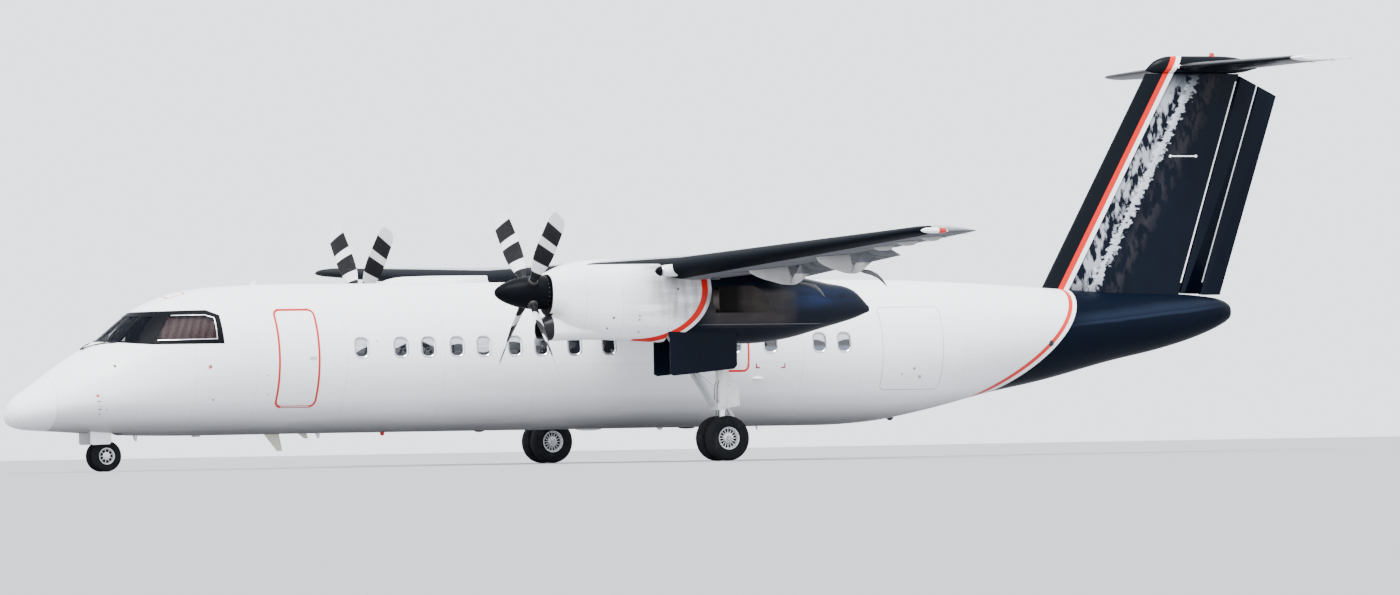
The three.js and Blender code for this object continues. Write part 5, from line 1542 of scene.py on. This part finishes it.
# Propeller blade: radius, chord, thickness, twist in degrees
BLADE = Sections([
    (0.15, 0.130, 0.130, 60),
    (0.34, 0.130, 0.130, 60),
    (0.48, 0.190, 0.095, 56),
    (0.76, 0.310, 0.062, 48),
    (1.15, 0.365, 0.042, 38),
    (1.55, 0.365, 0.028, 31),
    (1.84, 0.330, 0.018, 27),
    (1.93, 0.260, 0.013, 26),
    (1.97, 0.150, 0.008, 25),
])
BLADE_TURN = 42
SPINNER_RADIUS = 0.305
# Spinner, from its tip back and in behind its rim: station, radius
SPINNER = [
    (7.770, 0.0005), (7.774, 0.022), (7.790, 0.058), (7.820, 0.088), (7.860, 0.118), (7.93, 0.158),
    (8.000, 0.190), (8.09, 0.222), (8.180, 0.250), (8.28, 0.271), (8.380, 0.288), (8.49, 0.299),
    (8.600, SPINNER_RADIUS), (8.735, SPINNER_RADIUS), (8.742, 0.300), (8.742, 0.195), (8.42, 0.195),
    (8.20, 0.0005),
]


def blade_rings():
    rings = []
    for radius in [*np.linspace(0.15, 1.84, 30), 1.88, 1.91, 1.93, 1.95, 1.962, 1.97]:
        _, chord, thick, twist = BLADE.row(radius)
        t = math.radians(twist)
        ring = []
        for i in range(24):
            turn = math.tau * i / 24
            along, off = chord / 2 * math.cos(turn), thick / 2 * math.sin(turn)
            if radius > 0.5:
                off *= 0.75 + 0.35 * math.cos(turn)
            x = along * math.sin(t) + off * math.cos(t)
            y = off * math.sin(t) - along * math.cos(t)
            ring.append(Vector((x, y, radius)))
        rings.append(ring)
    return rings


def propellers():
    collar = [(0.066, 0.255), (0.092, 0.262), (0.096, 0.288), (0.088, 0.318), (0.067, 0.33)]
    hub_profile = [(0.0005, 0.33), (0.19, 0.33), (0.19, -0.13), (0.0005, -0.13)]
    cone_profile = [(r, PROPELLER_STATION - s) for s, r in SPINNER]
    for name, side in SIDES:
        body = f"propeller_{name}"
        centre = Vector((at(PROPELLER_STATION), side * ENGINE_Y, PROPELLER_Z))
        blades, collars = Form(), Form()
        for k in range(4):
            turned = Matrix.Rotation(math.radians(90 * k + BLADE_TURN), 4, "X")
            turn = Matrix.Translation(centre) @ turned
            blades.loft([[turn @ p for p in ring] for ring in blade_rings()])
            collars.turned(collar, centre, turn.to_3x3() @ Vector((0, 0, 1)), 28)
        piece(f"propeller_blades_{name}", blades, "blade", body, [body], angle=50)
        piece(f"blade_root_collars_{name}", collars, "matt", body)
        hub = Form().turned(hub_profile, centre + Vector((-0.33, 0, 0)), (1, 0, 0), 40)
        piece(f"propeller_hub_{name}", hub, "steel", body)
        cone = Form().turned(cone_profile, centre, (1, 0, 0), 72)
        piece(f"spinner_shell_{name}", cone, "black", body, [f"spinner_{name}"], angle=40)
        screws = [Vector((-0.285, SPINNER_RADIUS * c, SPINNER_RADIUS * s)) for c, s in circle(24)]
        base = points_mesh([centre + p for p in screws], [facing((0, p.y, p.z)) for p in screws])
        grown(f"spinner_screws_{name}", PLACE, base, stud(0.007, 0.002, 8), 1.0,
              "steel", body)


# Landing gear

# Radius of the main wheels' rims, and of a rim whose bolts have the unit's own size
MAIN_RIM, BOLT_RIM = 0.2053, 0.205


def centre_of(node):
    low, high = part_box(node)
    return (low + high) / 2, high - low


def tyre_profile(radius, width, rim, grooves):
    """[radius, along] of a tyre's section, with square grooves round its tread."""
    half = width / 2
    outer = [(rim, -half * 0.70), (rim + 0.004, -half * 0.76)]
    outer += [
        (rim + (radius - rim) * (0.5 + 0.5 * math.sin(t)) * 0.97, -half * (0.80 + 0.20 * math.cos(t)))
        for t in np.linspace(math.radians(-70), math.radians(38), 9)
    ]
    shoulder = half * 0.62
    crown = []
    drop, groove, deep = 0.004, 0.006, 0.009
    edges = np.linspace(-shoulder, shoulder, grooves * 2 + 2)
    for i, place in enumerate(edges):
        top = radius - drop * (abs(place) / shoulder) ** 2
        if i % 2 == 1 and i < len(edges) - 1:
            start, end = place - groove, place + groove
            crown += [(top, start), (top - deep, start), (top - deep, end), (top, end)]
        else:
            crown.append((top, place))
    return outer + crown + [(r, -a) for r, a in reversed(outer)]


def wheel_profile(rim, width, bore):
    """[radius, along] of a wheel's section, from the back of its hub out to the rim and back in."""
    shares = [
        (0.80, -0.22), (0.84, -0.60), (0.99, -0.74), (0.99, 0.74), (0.965, 0.80), (0.90, 0.76),
        (0.84, 0.60), (0.80, 0.18), (0.36, 0.18), (0.34, 0.56),
    ]
    half = width / 2
    hub = [(bore, -half * 0.45), (bore + 0.03, -half * 0.45), (bore + 0.035, -half * 0.25)]
    return hub + [(rim * r, half * a) for r, a in shares] + [(bore, half * 0.62)]


def rib_unit(inner, outer, half, low, high):
    """One radial rib of a wheel's face, lying along x with the wheel's axle as z."""
    corners = [
        (r, w, a)
        for r, wide in ((inner, half * 1.3), (outer, half))
        for w in (-wide, wide)
        for a in (low, high)
    ]
    faces = [(0, 1, 3, 2), (4, 6, 7, 5), (0, 4, 5, 1), (2, 3, 7, 6), (0, 2, 6, 4), (1, 5, 7, 3)]
    return Form().add(corners, faces)


def spoke_turn(angle, out):
    """The angles that lay a unit's x along a spoke and its z out of the wheel's face."""
    c, s = math.cos(angle), math.sin(angle)
    return Matrix(((c, out * s, 0), (0, 0, out), (s, -out * c, 0))).to_euler()


def wheel(name, place, out, radius, width, rim, bore, spokes, body, slot, tyre_node, wheel_node):
    """A tyre and its ribbed wheel; out says which way the wheel's outer face points."""
    place, axle = Vector(place), (0, out, 0)
    tyre = Form().turned(tyre_profile(radius, width, rim, 4), place, axle, 96)
    piece(f"{name}_tyre", tyre, "tyre", body, tyre_node, angle=30)
    metal = Form().turned(wheel_profile(rim, width, bore), place, axle, 64)
    piece(f"{name}_rim", metal, "alloy", body, wheel_node, angle=30)
    recess = [(rim * 0.46, 0), (rim * 0.82, 0), (rim * 0.82, -0.004), (rim * 0.46, -0.004)]
    face = place + Vector((0, out * (width * 0.09 + 0.005), 0))
    piece(f"{name}_rim_recess", Form().turned(recess, face, axle, 48), "brake", body)
    rib = rib_unit(rim * 0.44, rim * 0.84, rim * 0.026, width * 0.09, width * 0.17)
    turns = [spoke_turn(math.tau * k / spokes, out) for k in range(spokes)]
    grown(f"{name}_ribs", PLACE, points_mesh([place] * spokes, turns), rib, 1.0, "alloy", body)
    shares = [(0.16, 0.39), (0.24, 0.34), (0.27, 0.27), (0.46, 0.23), (0.49, 0.10), (0.27, 0.095)]
    cap = [(rim * r, width * a) for r, a in shares]
    cap = [(0.0005, width * 0.40), *cap, (0.0005, width * 0.20)]
    piece(f"{name}_cap", Form().turned(cap, place, axle, 40), "silver", body)
    reach = rim * 0.885
    bolts = [place + Vector((reach * c, out * width * 0.375, reach * s)) for c, s in circle(16)]
    grown(f"{name}_bolts", PLACE, points_mesh(bolts, [facing(axle)] * len(bolts)),
          stud(0.008, 0.007), rim / BOLT_RIM, "steel", body)


def main_gear():
    for name, side in SIDES:
        outer, _ = centre_of(f"main_wheel_outer_{name}")
        inner, _ = centre_of(f"main_wheel_inner_{name}")
        axle_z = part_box(f"main_tyre_outer_{name}")[1].z / 2
        for label, y in (("outer", outer.y), ("inner", inner.y)):
            out = 1 if y > side * ENGINE_Y else -1
            wheel(f"main_{label}_{name}", (outer.x, y, axle_z), out, 0.4030, 0.240, MAIN_RIM, 0.0507, 16,
                  f"main_wheels_{name}", "wheel_metal", [f"main_tyre_{label}_{name}"],
                  [f"main_wheel_{label}_{name}"])
        gear_leg(name, side, NOSE_X - outer.x, axle_z)


def gear_leg(name, side, station, axle_z):
    """Leg with collars, bright piston, torque links, axle and brakes, hoses and the side plate."""
    middle_y = side * ENGINE_Y

    def place(s, across, z):
        return Vector((at(s), side * (ENGINE_Y + across), z))

    def beside(s, across, z):
        return place(station + s, across, z)

    def prism(form, corners, half):
        """Corners given by their distance behind the axle and their height."""
        form.prism([(station + s, z) for s, z in corners], middle_y - half, middle_y + half)

    def box(form, low_s, high_s, z0, z1, half):
        prism(form, [(low_s, z0), (high_s, z0), (high_s, z1), (low_s, z1)], half)

    foot_z, bay_half = 0.96, 0.3697
    top, foot = place(12.11, 0, 2.965), beside(0, 0, foot_z)
    leg = Form().tube([top, foot], 0.090, 40)
    along = (foot - top).normalized()
    for share, wide in ((0.30, 0.098), (0.52, 0.096), (0.70, 0.096), (0.985, 0.0948)):
        middle = top + (foot - top) * share
        leg.tube([middle - along * 0.028, middle + along * 0.028], wide, 40)
    leg.tube([place(12.11, -bay_half, 2.78), place(12.11, bay_half, 2.78)], 0.058, 32)
    box(leg, -0.11, 0.05, foot_z - 0.05, foot_z + 0.08, 0.066)
    piece(f"gear_leg_{name}", leg, "gear", replaces=[f"main_leg_{name}"], bevel=0.004)
    plate = Form()
    corners = [(0, 1.64), (0.11, 1.64), (0.33, 1.26), (0.34, foot_z + 0.02), (0, foot_z - 0.04)]
    prism(plate, corners, 0.038)
    piece(f"gear_side_plate_{name}", plate, "gear", bevel=0.008)
    bolts = [
        beside(s, 0.038, z)
        for s, z in ((0.10, 1.58), (0.20, 1.42), (0.29, 1.26), (0.30, 1.12), (0.30, 1.00), (0.17, 0.975),
                     (0.13, 1.36), (0.13, 1.18))
    ]
    grown(f"gear_plate_bolts_{name}", PLACE, points_mesh(bolts, [facing((0, side, 0))] * len(bolts)),
          stud(0.012, 0.006), 1.0, "strut")
    piston = Form().tube([foot + Vector((0, 0, 0.04)), beside(0, 0, axle_z)], 0.056, 40)
    piece(f"gear_piston_{name}", piston, "chrome")
    axle = Form().tube([beside(0, -0.325, axle_z), beside(0, 0.325, axle_z)], 0.0495, 36)
    low, high, top_z = axle_z - 0.08, axle_z + 0.06, axle_z + 0.13
    prism(axle, [(-0.085, low), (0.085, low), (0.085, high), (0.06, top_z), (-0.06, top_z), (-0.085, high)],
          0.068)
    piece(f"gear_axle_{name}", axle, "strut", bevel=0.006)
    links = Form()
    elbow = [(0.21, 0.72), (0.265, 0.70), (0.285, 0.73)]
    prism(links, [(0.07, foot_z), (0.14, foot_z), *reversed(elbow)], 0.022)
    prism(links, [*elbow, (0.09, 0.46), (0.02, 0.48)], 0.022)
    links.tube([beside(0.25, -0.035, 0.72), beside(0.25, 0.035, 0.72)], 0.018, 16)
    piece(f"gear_torque_links_{name}", links, "strut", bevel=0.003)
    hoses = Form()
    for across in (-0.055, 0.055):
        route = ((-0.06, 1, 1.50), (-0.115, 1, 1.30), (-0.12, 1, 1.10), (-0.09, 0.9, 0.90),
                 (-0.10, 0.8, 0.70), (-0.075, 0.8, 0.52))
        hoses.tube([beside(s, across * share, z) for s, share, z in route], 0.0065, 10)
    piece(f"gear_brake_hoses_{name}", hoses, "hose")
    strut = Form()
    for across in (-1, 1):
        a, b = place(11.06, across * 0.21, 2.48), beside(-0.16, across * 0.04, foot_z + 0.02)
        strut.tube([a, b], 0.044, 24)
        half_collar = (b - a).normalized() * 0.03
        for share in (0.06, 0.52, 0.94):
            middle = a + (b - a) * share
            strut.tube([middle - half_collar, middle + half_collar], 0.050, 24)
    box(strut, -0.20, -0.1103, foot_z - 0.05, foot_z + 0.07, 0.070)
    strut.tube([place(11.06, -bay_half, 2.48), place(11.06, bay_half, 2.48)], 0.0395, 24)
    piece(f"gear_drag_strut_{name}", strut, "strut", replaces=[f"drag_strut_{name}"],
          bevel=0.003)
    lock = Form()
    lock.tube([place(11.40, 0.0, 1.90), place(12.02, 0.0, 1.78)], 0.020, 16)
    lock.tube([place(11.55, -0.10, 1.70), place(12.03, -0.03, 1.36)], 0.014, 12)
    lock.tube([place(11.45, -0.13, 1.82), place(11.45, 0.13, 1.82)], 0.018, 14)
    piece(f"gear_lock_links_{name}", lock, "chrome")
    for door in ("outer_gear_door", "inner_gear_door"):
        dressed(f"{door}_{name}", "navy", bevel=0.008)


def nose_gear():
    for name, side in SIDES:
        middle, size = centre_of(f"nose_wheel_{name}")
        x, z = middle.x, size.z / 2
        wheel(f"nose_{name}", (x, side * 0.125, z), side, 0.2776, 0.150, 0.150, 0.0347, 9, "nose_wheels",
              "nose_wheel", [f"nose_wheel_{name}"], [])
        dressed(f"nose_gear_door_{name}", "white", bevel=0.004)
    dressed("nose_steer", "gear", "nose_steering", angle=40)
    piston = Form().tube([(x, 0, 0.36), (x, 0, 0.545)], 0.0455, 36)
    piece("nose_piston_sleeve", piston, "chrome", "nose_steering")
    foot_z, top_z, bay_half = 0.7003, 1.1497, 0.3097
    leg = Form().tube([(x, 0, foot_z), (x, 0, top_z)], 0.074, 40)
    for low in (foot_z, 0.80, 0.93):
        leg.tube([(x, 0, low), (x, 0, low + 0.03)], 0.076, 40)
    leg.tube([(x - 0.04, 0, 0.80), (x - 0.23, 0, 1.105)], 0.026, 18)
    leg.tube([(x, -bay_half, 1.04), (x, bay_half, 1.04)], 0.033, 24)
    leg.tube([(x + 0.02, -0.13, 0.76), (x + 0.02, 0.13, 0.76)], 0.030, 20)
    piece("nose_leg_casting", leg, "strut", replaces=["nose_leg"], bevel=0.003)
    lamp = Form().turned([(0.0005, 0.055), (0.05, 0.05), (0.058, 0.03), (0.05, -0.04), (0.0005, -0.05)],
                         (x + 0.115, 0, 0.86), (1, 0, 0), 32)
    piece("taxi_light", lamp, "clear_light")
    links = Form()
    links.prism([(1.885, 0.66), (1.93, 0.66), (1.985, 0.47), (1.955, 0.455)], -0.022, 0.022)
    links.prism([(1.985, 0.47), (1.955, 0.455), (1.86, 0.33), (1.90, 0.31)], -0.022, 0.022)
    piece("nose_torque_links", links, "strut", "nose_steering", bevel=0.003)
    hose = Form()
    for across in (-0.05, 0.05):
        route = ((0.05, 1, 1.10), (0.085, 1.4, 0.95), (0.09, 1.3, 0.80), (0.07, 1, 0.72))
        hose.tube([(x - behind, across * share, z) for behind, share, z in route], 0.007, 10)
    piece("nose_gear_hoses", hose, "hose")


# Tail

def nose_shares(steps=14):
    """Shares of a chord, close together at the leading edge."""
    return [(1 - math.cos(math.pi * i / steps / 2)) ** 1.15 for i in range(steps + 1)]


def fin_ring(z):
    lead, hinge = line_at(FIN_LEAD, z), line_at(HINGE_LINE, z)
    half = (0.330 - 0.150 * (z - FIN_FOOT_Z) / (FIN_TOP_Z - FIN_FOOT_Z)) / 2
    xs, ts = (0, 0.015, 0.06, 0.18, 0.4, 0.7, 1), (0, 0.26, 0.5, 0.82, 1, 0.95, 0.74)
    side = []
    for x in nose_shares():
        round_nose = 0.5 * math.sqrt(x / 0.06) * (0.9 + 0.1 * x / 0.06)
        thick = np.interp(x, xs, ts) if x > 0.06 else round_nose
        side.append(Vector((at(lead + x * (hinge - lead)), thick * half, z)))
    return side + [Vector((p.x, -p.y, p.z)) for p in side[:0:-1]]


# Tailplane: distance from the middle, leading edge, hinge line, thickness
TAILPLANE = np.array([
    (0.06, 23.45, 24.56, 0.190),
    (3.76, 23.96, 24.70, 0.120),
    (3.96, 24.06, 24.70, 0.090),
])
TAIL_Z = 7.268


def tailplane_at(y):
    return [float(np.interp(y, TAILPLANE[:, 0], TAILPLANE[:, k])) for k in (1, 2, 3)]


def tail_ring(y, side):
    lead, hinge, thick = tailplane_at(y)
    xs, ts = (0, 0.02, 0.08, 0.25, 0.5, 1), (0, 0.28, 0.55, 0.88, 1, 0.7)
    upper = []
    for x in nose_shares():
        height = np.interp(x, xs, ts) if x > 0.08 else 0.55 * math.sqrt(x / 0.08)
        place = (at(lead + x * (hinge - lead)), side * y, TAIL_Z + height * thick / 2)
        upper.append(Vector(place))
    return upper + [Vector((p.x, p.y, 2 * TAIL_Z - p.z)) for p in upper[:0:-1]]


def tail():
    fin = Form().loft([fin_ring(z) for z in np.linspace(2.75, FIN_TOP_Z - GAP, 12)])
    for z in (3.6, 5.0, 6.4):
        s = line_at(HINGE_LINE, z)
        fin.block((s - 0.0276, s + 0.0045), (-0.018, 0.018), (z - 0.008, z + 0.008))
    piece("fin_skin", fin, "tail", replaces=["fin"], angle=40)
    plane = skin(FIN_TIP, 22.88, 25.25, 40, 0.1)
    half = 0.018
    for _, side in SIDES:
        plane.loft([tail_ring(y, side) for y in (0.06, *np.linspace(0.8, 3.76, 5), 3.86, 3.96)])
        for y in (0.9, 2.3, 3.5):
            _, hinge, _ = tailplane_at(y)
            plane.block((hinge - 0.025, hinge + 0.0071), (side * y - half, side * y + half),
                        (TAIL_Z - half, TAIL_Z + half))
    piece("tailplane_skin", plane, "tailplane", replaces=["tailplane"], angle=40)
    for node in ("rudder_fore", "rudder_trailing"):
        dressed(node, "tail", node, angle=40)
    for name, _ in SIDES:
        dressed(f"elevator_{name}", "tailplane", f"elevator_{name}", angle=40)
    rail, z = Form(), 5.58
    bead = [(0.0005, 0.030), (0.022, 0.020), (0.030, 0), (0.022, -0.020), (0.0005, -0.030)]
    for _, side in SIDES:
        y, ends = side * 0.26, (23.24, 23.78)
        for s in (23.30, 23.72):
            rail.tube([(at(s), side * 0.10, z), (at(s), y, z)], 0.012, 10)
        rail.tube([(at(s), y, z) for s in ends], 0.014, 12)
        for s in ends:
            rail.turned(bead, (at(s), y, z), (1, 0, 0), 16)
    piece("fin_antenna_rails", rail, "white")
    cone = Form().turned([(0.0005, 0.012), (0.055, 0.010), (0.07, -0.01), (0.07, -0.06), (0.0005, -0.06)],
                         (at(24.54), 0, 2.645), (-1, 0, 0), 32)
    piece("tail_light", cone, "clear_light")


# Small things outside

def antenna_blade(root, tip, thick, chord_root, chord_tip):
    """Rings of a thin swept fin from a root place to a tip place."""
    rings = []
    for share in (0.0, 0.5, 0.9, 1.0):
        middle = Vector(root).lerp(Vector(tip), share)
        long = (chord_root + (chord_tip - chord_root) * share) / 2
        wide = thick * (1 - 0.4 * share) / 2
        rings.append([middle + Vector((long * c, wide * s, 0)) for c, s in circle(20)])
    return rings


def belly_fittings():
    belly = Form()
    belly.loft(antenna_blade((at(5.03), 0, 0.66), (at(5.205), 0, 0.315), 0.026, 0.32, 0.11))
    belly.loft(antenna_blade((at(5.62), 0, 0.66), (at(5.72), 0, 0.53), 0.02, 0.20, 0.08))
    piece("belly_antennas", belly, "cream")
    crown = Form().loft(antenna_blade((at(4.72), 0, 3.26), (at(4.76), 0, 3.375), 0.02, 0.16, 0.09))
    piece("crown_antenna", crown, "white")
    masts = Form()
    for station in (2.42, 5.92):
        path = [(at(station + back), 0.05, z) for back, z in ((0, 0.66), (0.01, 0.58), (0.02, 0.53))]
        masts.tube(path, 0.050, 16, end=0.016)
    masts.tube([(at(14.6), 0.1, 0.66), (at(14.62), 0.1, 0.56)], 0.026, 14, end=0.016)
    piece("drain_masts", masts, "white")
    fairings = ((11.27, 0.27, 0.09, 0.035), (13.88, 0.13, 0.08, 0.040), (12.70, 0.06, 0.04, 0.045))
    fittings = ((13.24, 0.18, 0.05, 0.032), (17.39, 0.07, 0.04, 0.060), (9.10, 0.10, 0.04, 0.030))
    for name, slot, finish, bulges in (
        ("belly_fairings", "white_paint", "white", fairings),
        ("belly_dark_fittings", "panel_plastic", "matt", fittings),
    ):
        bumps = Form()
        for station, long, wide, deep in bulges:
            bumps.loft(blister(station, 0, HULL.row(station)[1] + 0.004, long, wide, deep))
        piece(name, bumps, finish)
    pad = Form().block((3.54, 3.66), (-0.06, 0.06), (0.59, 0.66))
    piece("nose_jack_pad", pad, "strut", bevel=0.004)


def side_fittings():
    for name, side in SIDES:
        probe = Form()
        for station, z in ((1.44, 1.25), (1.47, 1.11)):
            y = hull_y(station, z)
            bends = ((0, -0.01, 0), (0, 0.025, 0.005), (0.02, 0.032, 0.006), (0.06, 0.032, 0.006))
            probe.tube([(at(station - s), side * (y + out), z - down) for s, out, down in bends], 0.006, 12)
        piece(f"air_data_probes_{name}", probe, "steel")
        y = side * 4.75
        pad = Form().block((11.64, 11.76), (y - 0.06, y + 0.06), (3.225, 3.30))
        piece(f"wing_jack_pad_{name}", pad, "steel", bevel=0.004)
        station, z = 20.28, 2.07
        profile = [(0.0005, 0.016), (0.045, 0.014), (0.058, 0.004), (0.060, -0.02), (0.0005, -0.02)]
        middle = (at(station), side * (hull_y(station, z) - 0.002), z)
        vent = Form().turned(profile, middle, (0.2, side, -0.2), 28)
        piece(f"vent_{name}", vent, "matt")
        rings = []
        for share, size in ((0.0, 0.1), (0.1, 0.55), (0.3, 0.9), (0.55, 1.0), (0.8, 0.75), (1.0, 0.1)):
            station, z = 13.98 + 0.26 * share, 1.49
            rings.append(oval(station, hull_y(station, z) - 0.012, z, 0.050 * size, 0.040 * size, side))
        piece(f"side_blister_{name}", Form().loft(rings), "white")


def beacons():
    belly = [(0.0005, 0.065), (0.022, 0.060), (0.038, 0.040), (0.042, 0.0), (0.048, -0.03), (0.0005, -0.03)]
    top = [(0.0005, 0.07), (0.03, 0.065), (0.045, 0.045), (0.05, 0.0), (0.055, -0.03), (0.0005, -0.03)]
    for name, profile, station, z, up in (("belly", belly, 7.2, 0.622, -1), ("fin", top, 24.3, 7.484, 1)):
        lamp = Form().turned(profile, (at(station), 0, z), (0, 0, up), 32)
        name = f"{name}_beacon"
        piece(name, lamp, "red_light")


def on_hull(station, z, side):
    return (at(station), side * hull_y(station, z, 0.0005), z)


def rivet_rows():
    """Fastener rows along hoops and panel edges, walked out by Geometry Nodes."""
    rows = []
    for stations, low, high in (((6.06, 8.0, 9.8, 15.06, 16.3, 19.4), 0.80, 3.00), ((2.2, 3.1), 0.78, 2.1)):
        for s in stations:
            for _, side in SIDES:
                rows.append([on_hull(s, z, side) for z in np.linspace(low, high, 14)])
    for _, side in SIDES:
        for z in (1.78, 2.60):
            rows.append([on_hull(s, z, side) for s in np.linspace(6.1, 15.8, 20)])
    grown("fuselage_rivets", ROW, paths_mesh(rows), stud(0.0055, 0.0022), 0.09, "white")
    seams = []
    for _, side in SIDES:
        for station in COWL_SEAMS:
            ring = section_ring(NACELLE.row(station), 64, COWL_POWER, y=side * ENGINE_Y)
            seams.append([tuple(p) for p in ring if p.z < 3.2])
    grown("nacelle_fasteners", ROW, paths_mesh(seams), stud(0.007, 0.0025), 0.085, "strut")


def make_floor(reach=400):
    mesh = bpy.data.meshes.new("studio_floor")
    corners = [(-reach, -reach, 0), (reach, -reach, 0), (reach, reach, 0), (-reach, reach, 0)]
    mesh.from_pydata(corners, [], [(0, 1, 2, 3)])
    mesh.materials.append(FINISH["floor"])
    floor = bpy.data.objects.new("studio_floor", mesh)
    bpy.context.scene.collection.objects.link(floor)


FINISH = make_finishes()
PLACE, ROW = place_tree(), row_tree()

make_camera()
make_lights()
make_floor()

forward_fuselage()
flight_deck_glazing()
flight_deck()
cabin()
cabin_windows()
airstair_door()
wing_panels()
static_wicks()
nacelles()
propellers()
main_gear()
nose_gear()
tail()
belly_fittings()
side_fittings()
beacons()
rivet_rows()
for name, _ in SIDES:
    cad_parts[f"engine_{name}"].data.materials.clear()
    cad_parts[f"engine_{name}"].data.materials.append(FINISH["burnt"])
